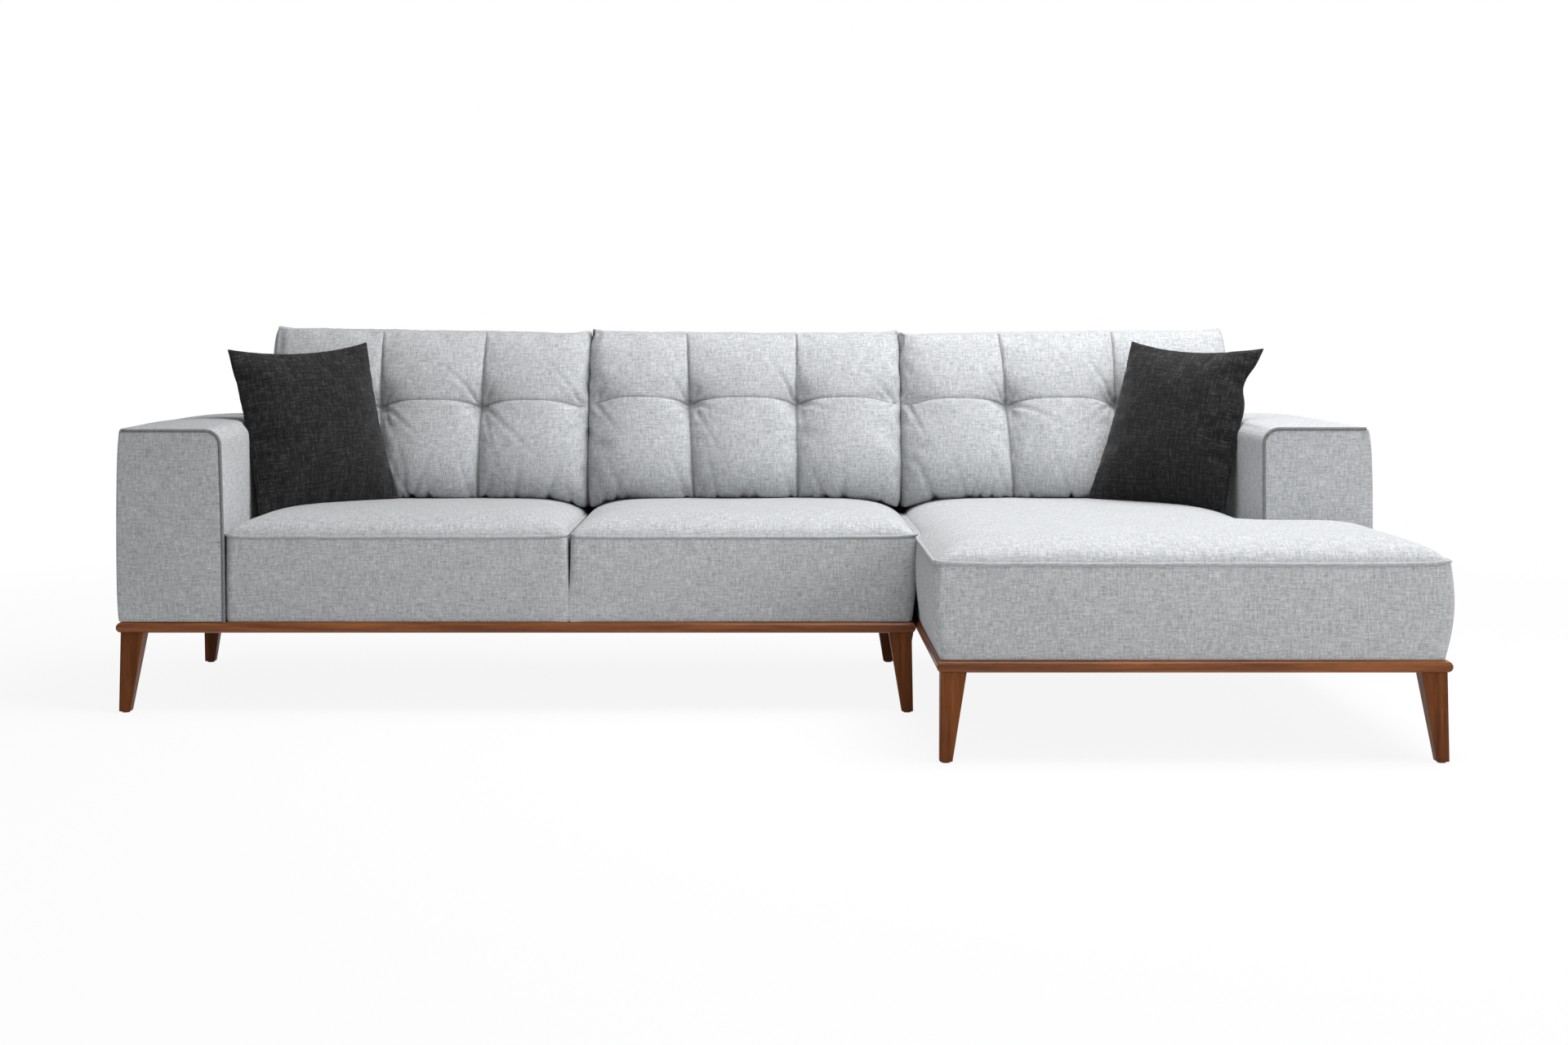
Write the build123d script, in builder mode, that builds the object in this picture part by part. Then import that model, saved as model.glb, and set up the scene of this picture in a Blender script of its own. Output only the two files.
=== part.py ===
from build123d import *
import os
from math import cos, pi, radians, sin

os.makedirs("parts", exist_ok=True)

# Plan of the sofa in millimetres: X runs left to right, Y front to back, Z up from the floor
arm_width = 250
seat_width = 816
sofa_depth = 900
chaise_reach = 670
module_gap = 2

# Heights, each measured from the piece below it
glide_height = 3
leg_height = 186
plinth_height = 26
seat_border = 201
seat_crown = 54
arm_rise = 460
back_rise = 635

# Walnut plinth and legs
plinth_width = 60
plinth_proud = 6
leg_top = 54
leg_foot = 27
leg_inset = 9
leg_splay = 3
leg_edge_radius = 2
leg_foot_chamfer = 1.5
glide_radius = 9

# Padded covers: the wall holds fabric and wadding, and the border is drawn in at plinth and piping
cover_wall = 10
border_draw = 5
edge_draw = 3
seat_gap = 2
seat_corner_radius = 18
crown_reach = 150
crown_steps = 3
welt_radius = 3.5
welt_proud = 1.5
welt_side_proud = 0.8
arm_inner_radius = 35
arm_outer_radius = 8
back_foot = 140
back_head = 90
back_edge_radius = 30
fit_gap = 0.4
joint_gap = 0.2

# Timber frame, webbing and dust cover
board = 20
rail_height = 90
base_rail_height = 70
back_top_rail_height = 40
back_top_rail_depth = 40
block_side = 65
block_height = 40
strap_width = 60
strap_thickness = 2
straps_per_seat = 4
cross_straps = 4
back_straps = 4
rib_spacing = 400
foam_edge_radius = 12
dust_cover_thickness = 1.2

# Bolts
bolt_radius = 4
bolt_edge = 8.6
bolt_head_radius = 8
bolt_head_height = 6
leg_bolt_depth = 40
arm_bolt_height = 45
arm_bolt_count = 3
arm_bolt_margin = 150

# Hook plates on the two-seater and sockets on the chaise
hook_width = 40
hook_thickness = 3
hook_rise = 20
hook_gap = 0.5
hook_margin = 160
hook_count = 2
socket_wall = 2
socket_flange = 15

# Back cushions: three sewn panels across and two rows up
cushion_top = 692
cushion_seam = 511
cushion_gap = 3
cushion_panels = 3
cushion_foot_depth = 165
cushion_seam_depth = 160
cushion_head_depth = 105
cushion_swell = 33
cushion_side_draw = 8
cushion_front_ease = 14
seam_puff = 10
panel_puff = 25
row_steps = 3
core_margin = 30
core_back_margin = 25
core_depth = 90
core_top_margin = 60

# Scatter cushions, leaning in the two corners
scatter_size = 420
scatter_thickness = 130
scatter_rim_dip = 10
scatter_crown_round = 15
scatter_crown_share = 0.68
scatter_steps = 3
scatter_turn = 40
scatter_lean = 13
scatter_roll = 2.5
scatter_from_arm = 156
scatter_back_sink = 17.8
scatter_seat_gap = 3.5
insert_side = 200
insert_thickness = 60
insert_edge_radius = 20

# Heights above the floor
plinth_bottom = glide_height + leg_height
deck = plinth_bottom + plinth_height
welt_height = deck + seat_border
crown_height = welt_height + seat_crown
arm_top = deck + arm_rise
back_top = deck + back_rise
rail_top = deck + rail_height
tall_rail_top = rail_top + strap_thickness + joint_gap
webbing_top = tall_rail_top + strap_thickness
cushion_base = crown_height + fit_gap
cushion_seam_height = deck + cushion_seam
cushion_top_height = deck + cushion_top

# Plinth edges in plan
overall_width = 2 * arm_width + 3 * seat_width + 4 * plinth_proud + module_gap
overall_depth = sofa_depth + chaise_reach + 2 * plinth_proud
sofa_left = -overall_width / 2
sofa_right = sofa_left + arm_width + 2 * seat_width + 2 * plinth_proud
chaise_left = sofa_right + module_gap
chaise_right = overall_width / 2
chaise_front = -overall_depth / 2
sofa_front = chaise_front + chaise_reach
plinth_back = overall_depth / 2

# Upholstery faces in plan
front_face = sofa_front + plinth_proud
chaise_face = chaise_front + plinth_proud
rear_face = plinth_back - plinth_proud
left_arm_inner = sofa_left + plinth_proud + arm_width
right_arm_inner = chaise_right - plinth_proud - arm_width
sofa_end = sofa_right - plinth_proud
chaise_start = chaise_left + plinth_proud
seat_split = left_arm_inner + seat_width
seat_rear = rear_face - back_foot - seat_gap
seat_play = seat_gap / 2
arm_notch = (right_arm_inner, front_face)

# Timber starts this far inside an upholstery face
cover_depth = cover_wall + border_draw
frame_inset = cover_depth + fit_gap
arm_frame_inset = cover_wall + fit_gap
block_inset = plinth_proud + frame_inset + board
bolt_inset = block_inset + bolt_edge
bolt_hole = bolt_radius + fit_gap
arm_bolt_level = deck + arm_bolt_height


def save(builder, name):
    """Label a finished piece and write it under its own name."""
    builder.part.label = name
    export_step(builder.part, f"parts/{name}.step")


def span(low, high, mode=Mode.ADD):
    """A box between two opposite corners."""
    size = Vector(*high) - Vector(*low)
    with Locations((Vector(*low) + Vector(*high)) / 2):
        Box(abs(size.X), abs(size.Y), abs(size.Z), mode=mode)


def spread(low, high, count):
    """Middles of equal bays between two limits."""
    bay = (high - low) / count
    return [low + bay * (index + 0.5) for index in range(count)]


def evenly(low, high, count):
    """Places from one limit to the other, both included."""
    return [low + (high - low) * index / (count - 1) for index in range(count)]


def module_corners(left, right, front):
    """Name, nose corner and inward directions of a module's four corners."""
    return [
        ("front_left", left, front, 1, 1),
        ("front_right", right, front, -1, 1),
        ("back_left", left, plinth_back, 1, -1),
        ("back_right", right, plinth_back, -1, -1),
    ]


def bolt_places(corners):
    return [(x + step_x * bolt_inset, y + step_y * bolt_inset) for _, x, y, step_x, step_y in corners]


# Plinth: four walnut rails with a half-round nose, mitred at the corners
def plinth_rail(name, start, end, inward, bolts):
    along = (end - start).normalized()
    nose = plinth_height / 2
    with BuildPart() as rail:
        with BuildSketch(Plane(origin=start, x_dir=inward, z_dir=along)):
            with BuildLine():
                Polyline((nose, 0), (plinth_width, 0), (plinth_width, plinth_height), (nose, plinth_height))
                ThreePointArc((nose, plinth_height), (0, nose), (nose, 0))
            make_face()
        extrude(amount=(end - start).length)
        split(bisect_by=Plane(origin=start, z_dir=along - inward), keep=Keep.TOP)
        split(bisect_by=Plane(origin=end, z_dir=-along - inward), keep=Keep.TOP)
        with BuildSketch(Plane.XY.offset(plinth_bottom)):
            with Locations(*bolts):
                Circle(bolt_hole)
        extrude(amount=plinth_height, mode=Mode.SUBTRACT)
    save(rail, name)


def plinth(module, left, right, front, bolts):
    front_left = Vector(left, front, plinth_bottom)
    front_right = Vector(right, front, plinth_bottom)
    back_right = Vector(right, plinth_back, plinth_bottom)
    back_left = Vector(left, plinth_back, plinth_bottom)
    plinth_rail(f"{module}_plinth_front", front_left, front_right, Vector(0, 1, 0), bolts)
    plinth_rail(f"{module}_plinth_right", front_right, back_right, Vector(-1, 0, 0), bolts)
    plinth_rail(f"{module}_plinth_back", back_right, back_left, Vector(0, -1, 0), bolts)
    plinth_rail(f"{module}_plinth_left", back_left, front_left, Vector(1, 0, 0), bolts)


# Legs: upright outer faces, tapered inner faces, a bore in the top for the hanger bolt
def leg(name, nose_x, nose_y, step_x, step_y):
    head = leg_inset + leg_top / 2
    foot = leg_inset - leg_splay + leg_foot / 2
    with BuildPart() as post:
        with BuildSketch(Plane.XY.offset(glide_height)):
            with Locations((nose_x + step_x * foot, nose_y + step_y * foot)):
                Rectangle(leg_foot, leg_foot)
        with BuildSketch(Plane.XY.offset(plinth_bottom)):
            with Locations((nose_x + step_x * head, nose_y + step_y * head)):
                Rectangle(leg_top, leg_top)
        loft(ruled=True)
        level_faces = post.faces().sort_by(Axis.Z)
        fillet(post.edges() - level_faces[0].edges() - level_faces[-1].edges(), leg_edge_radius)
        chamfer(post.faces().sort_by(Axis.Z)[0].edges(), leg_foot_chamfer)
        with Locations((nose_x + step_x * bolt_inset, nose_y + step_y * bolt_inset, plinth_bottom)):
            Hole(bolt_hole, depth=leg_bolt_depth + fit_gap)
    save(post, name)


def glides(module, corners):
    foot = leg_inset - leg_splay + leg_foot / 2
    with BuildPart() as pads:
        with BuildSketch():
            for _, x, y, step_x, step_y in corners:
                with Locations((x + step_x * foot, y + step_y * foot)):
                    Circle(glide_radius)
        extrude(amount=glide_height)
    save(pads, f"{module}_leg_glides")


# Corner blocks: three-cornered timber blocks in the frame corners, bored for the hanger bolts
def corner_blocks(module, corners, bolts):
    with BuildPart() as blocks:
        for _, x, y, step_x, step_y in corners:
            inner_x = x + step_x * block_inset
            inner_y = y + step_y * block_inset
            with BuildSketch(Plane.XY.offset(deck)):
                with BuildLine():
                    Polyline(
                        (inner_x, inner_y),
                        (inner_x + step_x * block_side, inner_y),
                        (inner_x, inner_y + step_y * block_side),
                        close=True,
                    )
                make_face()
            extrude(amount=block_height)
        with BuildSketch(Plane.XY.offset(deck)):
            with Locations(*bolts):
                Circle(bolt_hole)
        extrude(amount=block_height, mode=Mode.SUBTRACT)
    save(blocks, f"{module}_corner_blocks")


# Bolts: hanger bolts up through legs, plinth and corner blocks, and level bolts through the arm's side
def frame_bolts(module, bolts, arm_inner, side):
    rod_bottom = plinth_bottom - leg_bolt_depth
    block_top = deck + block_height
    arm_head = arm_inner - side * (arm_frame_inset + board)
    seat_nut = arm_inner + side * (seat_play + frame_inset + board)
    with BuildPart() as set_of_bolts:
        with BuildSketch(Plane.XY.offset(rod_bottom)):
            with Locations(*bolts):
                Circle(bolt_radius)
        extrude(amount=block_top - rod_bottom)
        with BuildSketch(Plane.XY.offset(block_top)):
            with Locations(*bolts):
                Circle(bolt_head_radius)
        extrude(amount=bolt_head_height)
        with BuildSketch(Plane.YZ.offset(arm_head)):
            with Locations(*arm_bolt_places()):
                Circle(bolt_radius)
        extrude(amount=seat_nut - arm_head)
        with BuildSketch(Plane.YZ.offset(arm_head)):
            with Locations(*arm_bolt_places()):
                Circle(bolt_head_radius)
        extrude(amount=-side * bolt_head_height)
        with BuildSketch(Plane.YZ.offset(seat_nut)):
            with Locations(*arm_bolt_places()):
                Circle(bolt_head_radius)
        extrude(amount=side * bolt_head_height)
    save(set_of_bolts, f"{module}_frame_bolts")


def arm_bolt_places():
    """Depth and height of each bolt that ties an arm to its seat frame."""
    places = evenly(front_face + arm_bolt_margin, seat_rear - arm_bolt_margin, arm_bolt_count)
    return [(y, arm_bolt_level) for y in places]


def arm_bolt_cutters(x):
    """Clearance holes for the arm bolts, right through whatever stands at x."""
    reach = seat_gap + frame_inset + board + fit_gap
    with BuildPart() as cutters:
        with BuildSketch(Plane.YZ.offset(x)):
            with Locations(*arm_bolt_places()):
                Circle(bolt_hole)
        extrude(amount=reach, both=True)
    return cutters.part


def dust_cover(module, left, right, front):
    edge = plinth_width + fit_gap
    with BuildPart() as cloth:
        span(
            (left + edge, front + edge, deck - dust_cover_thickness),
            (right - edge, plinth_back - edge, deck),
        )
    save(cloth, f"{module}_dust_cover")


# Seat covers: a bordered box with a crowned top, hollow below for the frame and the foam
def drawn_in(outline, inset):
    """The corners of a square-cornered outline, anticlockwise, each moved in from both its sides."""
    corners = [Vector(*point) for point in outline]
    moved = []
    for before, corner, after in zip(corners[-1:] + corners[:-1], corners, corners[1:] + corners[:1]):
        arriving = (corner - before).normalized().rotate(Axis.Z, 90)
        leaving = (after - corner).normalized().rotate(Axis.Z, 90)
        moved.append(corner + (arriving + leaving) * inset)
    return moved


def seat_section(outline, height, inset):
    with BuildSketch(Plane.XY.offset(height)) as plan:
        with BuildLine():
            Polyline(*drawn_in(outline, inset), close=True)
        make_face()
        corners = plan.vertices()
        if len(outline) > 4:
            corners = corners.sort_by_distance(arm_notch)[1:]
        fillet(corners, seat_corner_radius)
    return plan.sketch


def border_sections(outline):
    return [
        seat_section(outline, deck, border_draw),
        seat_section(outline, deck + seat_border / 2, 0),
        seat_section(outline, welt_height, edge_draw),
    ]


def crown_sections(outline):
    sections = []
    for step in range(crown_steps + 1):
        angle = step / crown_steps * pi / 2
        inset = edge_draw + crown_reach * (1 - cos(angle))
        sections.append(seat_section(outline, welt_height + seat_crown * sin(angle), inset))
    return sections


def prism(outline, inset, bottom, top):
    with BuildPart() as block:
        with BuildSketch(Plane.XY.offset(bottom)):
            with BuildLine():
                Polyline(*drawn_in(outline, inset), close=True)
            make_face()
        extrude(amount=top - bottom)
    return block.part


def piping(points, radius):
    """A round cord along straight runs joined by arcs."""
    with BuildPart() as cord:
        with BuildLine() as path:
            FilletPolyline(*points, radius=radius)
        with BuildSketch(Plane(origin=path.line @ 0, z_dir=path.line % 0)):
            Circle(welt_radius)
        sweep()
    return cord.part


def seat_piping(left, right, front, left_rear, right_rear):
    inset = edge_draw + welt_radius - welt_proud
    points = [
        (left + inset, left_rear, welt_height),
        (left + inset, front + inset, welt_height),
        (right - inset, front + inset, welt_height),
        (right - inset, right_rear, welt_height),
    ]
    return piping(points, seat_corner_radius)


def seat_cover(name, outline, frame_outline, cord, bolt_line):
    with BuildPart() as cover:
        loft(border_sections(outline))
        loft(crown_sections(outline))
        add(prism(frame_outline, cover_depth, deck, webbing_top + fit_gap), mode=Mode.SUBTRACT)
        add(prism(outline, cover_depth, webbing_top, welt_height), mode=Mode.SUBTRACT)
        add(cord, mode=Mode.SUBTRACT)
        if bolt_line is not None:
            add(arm_bolt_cutters(bolt_line), mode=Mode.SUBTRACT)
    save(cover, name)


def foam_core(outline):
    with BuildPart() as core:
        add(prism(outline, frame_inset, webbing_top, welt_height - fit_gap))
        fillet(core.edges().group_by(Axis.Z)[-1], foam_edge_radius)
    return core.part


def rectangle(left, right, front, rear):
    return [(left, front), (right, front), (right, rear), (left, rear)]


seat_left = left_arm_inner + seat_play
split_left = seat_split - seat_play
split_right = seat_split + seat_play
left_seat = rectangle(seat_left, split_left, front_face, seat_rear)
right_seat = rectangle(split_right, sofa_end, front_face, seat_rear)
both_seats = rectangle(seat_left, sofa_end, front_face, seat_rear)
chaise_wing_rear = front_face - seat_gap
chaise_seat_right = right_arm_inner - seat_play
chaise_wing_right = chaise_right - plinth_proud
chaise_seat = [
    (chaise_start, chaise_face),
    (chaise_wing_right, chaise_face),
    (chaise_wing_right, chaise_wing_rear),
    (chaise_seat_right, chaise_wing_rear),
    (chaise_seat_right, seat_rear),
    (chaise_start, seat_rear),
]

piping_end = seat_rear - seat_corner_radius
left_cord = seat_piping(seat_left, split_left, front_face, piping_end, piping_end)
right_cord = seat_piping(split_right, sofa_end, front_face, piping_end, piping_end)
chaise_cord = seat_piping(
    chaise_start, chaise_wing_right, chaise_face, piping_end, chaise_wing_rear - seat_corner_radius
)

seat_cover("sofa_seat_cover_left", left_seat, both_seats, left_cord, left_arm_inner)
seat_cover("sofa_seat_cover_right", right_seat, both_seats, right_cord, None)
seat_cover("chaise_seat_cover", chaise_seat, chaise_seat, chaise_cord, right_arm_inner)

with BuildPart() as sofa_welts:
    add(left_cord)
    add(right_cord)
save(sofa_welts, "sofa_seat_welts")

with BuildPart() as chaise_welt:
    add(chaise_cord)
save(chaise_welt, "chaise_seat_welt")

with BuildPart() as sofa_foams:
    add(foam_core(left_seat))
    add(foam_core(right_seat))
save(sofa_foams, "sofa_seat_foams")

with BuildPart() as chaise_foam:
    add(foam_core(chaise_seat))
save(chaise_foam, "chaise_seat_foam")


# Seat frames: rails on edge, with the cross rails one strap thickness taller than the long rails
frame_front = front_face + frame_inset
frame_rear = seat_rear - frame_inset
sofa_frame_left = seat_left + frame_inset
sofa_frame_right = sofa_end - frame_inset

with BuildPart() as sofa_long_rails:
    span((sofa_frame_left, frame_front, deck), (sofa_frame_right, frame_front + board, rail_top))
    span((sofa_frame_left, frame_rear - board, deck), (sofa_frame_right, frame_rear, rail_top))
save(sofa_long_rails, "sofa_seat_long_rails")

with BuildPart() as sofa_cross_rails:
    for x in (sofa_frame_left, seat_split - board / 2, sofa_frame_right - board):
        span((x, frame_front + board, deck), (x + board, frame_rear - board, tall_rail_top))
    add(arm_bolt_cutters(left_arm_inner), mode=Mode.SUBTRACT)
save(sofa_cross_rails, "sofa_seat_cross_rails")

chaise_frame_front = chaise_face + frame_inset
chaise_frame_left = chaise_start + frame_inset
chaise_frame_right = chaise_seat_right - frame_inset
wing_frame_right = chaise_wing_right - frame_inset
wing_frame_rear = chaise_wing_rear - frame_inset

with BuildPart() as chaise_cross_rails:
    span(
        (chaise_frame_left, chaise_frame_front, deck),
        (wing_frame_right, chaise_frame_front + board, tall_rail_top),
    )
    span(
        (chaise_frame_left, wing_frame_rear - board, deck),
        (wing_frame_right, wing_frame_rear, tall_rail_top),
    )
    span((chaise_frame_left, frame_rear - board, deck), (chaise_frame_right, frame_rear, tall_rail_top))
save(chaise_cross_rails, "chaise_seat_cross_rails")

with BuildPart() as chaise_long_rails:
    for x in (chaise_frame_left, wing_frame_right - board):
        span((x, chaise_frame_front + board, deck), (x + board, wing_frame_rear - board, rail_top))
    for x in (chaise_frame_left, chaise_frame_right - board):
        span((x, wing_frame_rear, deck), (x + board, frame_rear - board, rail_top))
    add(arm_bolt_cutters(right_arm_inner), mode=Mode.SUBTRACT)
save(chaise_long_rails, "chaise_seat_long_rails")


# Upholstered backs: an upright box whose front leans back above the seat
def back_profile(x, inset):
    """Side view of the back at x, drawn in all round but for its open foot."""
    with BuildSketch(Plane.YZ.offset(x)) as view:
        with BuildLine():
            Polyline(
                (rear_face, deck - inset),
                (rear_face, back_top),
                (rear_face - back_head, back_top),
                (rear_face - back_foot, welt_height),
                (rear_face - back_foot, deck - inset),
                close=True,
            )
        make_face()
        fillet(view.vertices().group_by(Axis.Y)[-1], back_edge_radius)
        if inset:
            offset(amount=-inset, mode=Mode.REPLACE)
    return view.sketch


def back_face(height):
    """How far back the front of the upholstered back stands at a height above the seat edge."""
    lean = (back_foot - back_head) / (back_top - welt_height)
    return rear_face - back_foot + lean * (height - welt_height)


def back_cover(name, left, right):
    with BuildPart() as cover:
        extrude(back_profile(left, 0), amount=right - left)
        extrude(
            back_profile(left + cover_depth, cover_depth),
            amount=right - left - 2 * cover_depth,
            mode=Mode.SUBTRACT,
        )
    save(cover, name)


def back_strap_parts(left, right):
    """Straps across the sloped front of the ribs, let in flush."""
    slope_foot = Vector((left + right) / 2, back_face(welt_height), welt_height)
    slope_head = Vector((left + right) / 2, back_face(back_top), back_top)
    upward = slope_head - slope_foot
    outward = upward.normalized().rotate(Axis.X, 90)
    front = Plane(origin=slope_foot, x_dir=(1, 0, 0), z_dir=outward).offset(-frame_inset)
    room = upward.length - back_edge_radius - back_top_rail_height
    with BuildPart() as straps:
        with BuildSketch(front):
            with Locations(*[(0, level) for level in spread(0, room, back_straps)]):
                Rectangle(right - left, strap_width)
        extrude(amount=-strap_thickness)
    return straps.part


def back_rail_parts(left, right, grow):
    """Top rail and two base rails that tie the ribs together, or with growth the notches for them."""
    top = back_top - back_edge_radius
    rear = rear_face - frame_inset
    front = rear_face - back_foot + frame_inset
    top_rear = rear_face - back_head / 2 + back_top_rail_depth / 2
    with BuildPart() as rails:
        span(
            (left, top_rear - back_top_rail_depth - grow, top - back_top_rail_height - grow),
            (right, top_rear + grow, top + grow),
        )
        span((left, rear - board - grow, deck), (right, rear + grow, deck + base_rail_height + grow))
        span((left, front - grow, deck), (right, front + board + grow, deck + base_rail_height + grow))
    return rails.part


def back_frame(name, left, right):
    rib_count = round((right - left) / rib_spacing) + 1
    with BuildPart() as ribs:
        for x in evenly(left, right - board, rib_count):
            extrude(back_profile(x, frame_inset), amount=board)
        add(back_rail_parts(left, right, joint_gap), mode=Mode.SUBTRACT)
        add(back_strap_parts(left, right), mode=Mode.SUBTRACT)
        add(back_rail_parts(left, right, 0))
    save(ribs, name)


back_cover("sofa_back_cover", seat_left, sofa_end)
back_cover("chaise_back_cover", chaise_start, chaise_seat_right)
back_frame("sofa_back_frame", sofa_frame_left, sofa_frame_right)
back_frame("chaise_back_frame", chaise_frame_left, chaise_frame_right)


# Webbing: one layer on the low rails, one across it on the tall rails, and the straps of the back
with BuildPart() as sofa_webbing:
    seat_bays = (
        (sofa_frame_left + board, seat_split - board),
        (seat_split + board, sofa_frame_right - board),
    )
    for start, end in seat_bays:
        for x in spread(start, end, straps_per_seat):
            span(
                (x - strap_width / 2, frame_front, rail_top),
                (x + strap_width / 2, frame_rear, rail_top + strap_thickness),
            )
    for y in spread(frame_front + board, frame_rear - board, cross_straps):
        span(
            (sofa_frame_left, y - strap_width / 2, tall_rail_top),
            (sofa_frame_right, y + strap_width / 2, webbing_top),
        )
    add(back_strap_parts(sofa_frame_left, sofa_frame_right))
save(sofa_webbing, "sofa_webbing")

with BuildPart() as chaise_webbing:
    bays = (
        (chaise_frame_front + board, wing_frame_rear - board, wing_frame_right),
        (wing_frame_rear, frame_rear - board, chaise_frame_right),
    )
    for start, end, right in bays:
        for y in spread(start, end, cross_straps):
            span(
                (chaise_frame_left, y - strap_width / 2, rail_top),
                (right, y + strap_width / 2, rail_top + strap_thickness),
            )
    for x in spread(chaise_frame_left + board, chaise_frame_right - board, straps_per_seat):
        span(
            (x - strap_width / 2, chaise_frame_front, tall_rail_top),
            (x + strap_width / 2, frame_rear, webbing_top),
        )
    add(back_strap_parts(chaise_frame_left, chaise_frame_right))
save(chaise_webbing, "chaise_webbing")


# Arms: a softly bowed outer side, a rounded inner top edge, and piping round the front panel
def arm_profile(inner, side, y, inset):
    """Front view of an arm at y, drawn in all round but for its open foot."""
    outer = inner - side * arm_width
    foot = deck - inset
    outer_foot = (outer + side * border_draw, foot)
    outer_top = (outer + side * border_draw / 2, arm_top)
    with BuildSketch(Plane.XZ.offset(-y)) as view:
        with BuildLine():
            ThreePointArc(outer_foot, (outer, (foot + arm_top) / 2), outer_top)
            Polyline(outer_top, (inner, arm_top), (inner, foot), outer_foot)
        make_face()
        fillet(view.vertices().sort_by_distance((inner, arm_top))[0], arm_inner_radius)
        fillet(view.vertices().sort_by_distance(outer_top)[0], arm_outer_radius)
        if inset:
            offset(amount=-inset, mode=Mode.REPLACE)
    return view.sketch


def arm_piping(inner, side):
    """Cord along the top edge of the front panel and down its inner edge."""
    sunk = welt_radius - welt_proud
    level = front_face + sunk
    cord_top = arm_top - sunk
    cord_side = inner - side * (welt_radius - welt_side_proud)
    cord_start = inner - side * (arm_width - border_draw - arm_outer_radius)
    points = [(cord_start, level, cord_top), (cord_side, level, cord_top), (cord_side, level, deck)]
    return piping(points, arm_inner_radius - sunk)


def arm(name, inner, side):
    cord = arm_piping(inner, side)
    with BuildPart() as welt:
        add(cord)
    save(welt, f"{name}_welt")

    with BuildPart() as cover:
        extrude(arm_profile(inner, side, rear_face, 0), amount=sofa_depth)
        extrude(
            arm_profile(inner, side, rear_face - cover_depth, cover_wall),
            amount=sofa_depth - 2 * cover_depth,
            mode=Mode.SUBTRACT,
        )
        add(cord, mode=Mode.SUBTRACT)
        add(arm_bolt_cutters(inner), mode=Mode.SUBTRACT)
    save(cover, f"{name}_cover")

    front = front_face + frame_inset + board
    rear = rear_face - frame_inset - board
    start = front + joint_gap
    end = rear - joint_gap
    low_side = inner - side * (arm_width - frame_inset)
    high_side = inner - side * arm_frame_inset
    top = arm_top - arm_frame_inset
    with BuildPart() as boards:
        extrude(arm_profile(inner, side, rear + board, arm_frame_inset), amount=board)
        extrude(arm_profile(inner, side, front, arm_frame_inset), amount=board)
        span((low_side, start, deck), (low_side + side * board, end, deck + base_rail_height))
        span((high_side - side * board, start, deck), (high_side, end, deck + base_rail_height))
        span(
            (low_side + side * arm_inner_radius, start, top - board),
            (high_side - side * arm_inner_radius, end, top),
        )
        add(arm_bolt_cutters(inner), mode=Mode.SUBTRACT)
    save(boards, f"{name}_frame")


arm("left_arm", left_arm_inner, 1)
arm("right_arm", right_arm_inner, -1)


# Bases of the two modules
def base(module, left, right, front, arm_inner, side):
    corners = module_corners(left, right, front)
    bolts = bolt_places(corners)
    plinth(module, left, right, front, bolts)
    for place, x, y, step_x, step_y in corners:
        leg(f"{module}_leg_{place}", x, y, step_x, step_y)
    glides(module, corners)
    corner_blocks(module, corners, bolts)
    frame_bolts(module, bolts, arm_inner, side)
    dust_cover(module, left, right, front)


base("sofa", sofa_left, sofa_right, sofa_front, left_arm_inner, 1)
base("chaise", chaise_left, chaise_right, chaise_front, right_arm_inner, -1)


# Couplings: hook plates under the two-seater's side rail, and sockets the chaise drops over them with
socket_face = chaise_left + plinth_width
hook_places = evenly(sofa_front + hook_margin, plinth_back - hook_margin, hook_count)

with BuildPart() as hooks:
    tongue_start = socket_face + hook_gap
    tongue_end = tongue_start + hook_thickness
    plate_bottom = plinth_bottom - hook_thickness
    for y in hook_places:
        with BuildSketch(Plane.XZ.offset(-y - hook_width / 2)):
            with BuildLine():
                Polyline(
                    (sofa_right - plinth_width, plate_bottom),
                    (tongue_end, plate_bottom),
                    (tongue_end, plinth_bottom + hook_rise),
                    (tongue_start, plinth_bottom + hook_rise),
                    (tongue_start, plinth_bottom - hook_gap),
                    (sofa_right, plinth_bottom - hook_gap),
                    (sofa_right, plinth_bottom),
                    (sofa_right - plinth_width, plinth_bottom),
                    close=True,
                )
            make_face()
        extrude(amount=hook_width)
save(hooks, "connector_hooks")

with BuildPart() as sockets:
    slot_depth = hook_thickness + 2 * hook_gap
    slot_half = hook_width / 2 + hook_gap
    for y in hook_places:
        with BuildSketch(Plane.XY.offset(plinth_bottom)):
            with Locations((socket_face + (slot_depth + socket_wall) / 2, y)):
                Rectangle(slot_depth + socket_wall, 2 * (slot_half + socket_wall))
            with Locations((socket_face + socket_wall / 2, y)):
                Rectangle(socket_wall, 2 * (slot_half + socket_wall + socket_flange))
            with Locations((socket_face + slot_depth / 2, y)):
                Rectangle(slot_depth, 2 * slot_half, mode=Mode.SUBTRACT)
        extrude(amount=hook_rise)
save(sockets, "connector_sockets")


# Back cushions: level slices, flat behind and puffed between the seams in front, lofted row by row
def cushion_slice(left, right, height, depth, puff):
    back = back_face(height) - fit_gap
    front = back - depth
    side_left = left + cushion_side_draw
    side_right = right - cushion_side_draw
    seams = evenly(side_left + cushion_front_ease, side_right - cushion_front_ease, cushion_panels + 1)
    waist = back - depth / 2
    with BuildSketch(Plane.XY.offset(height)) as level:
        with BuildLine():
            Line((side_right, back), (side_left, back))
            ThreePointArc((side_left, back), (left, waist), (seams[0], front))
            for start, end in zip(seams[:-1], seams[1:]):
                ThreePointArc((start, front), ((start + end) / 2, front - puff), (end, front))
            ThreePointArc((seams[-1], front), (right, waist), (side_right, back))
        make_face()
    return level.sketch


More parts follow.
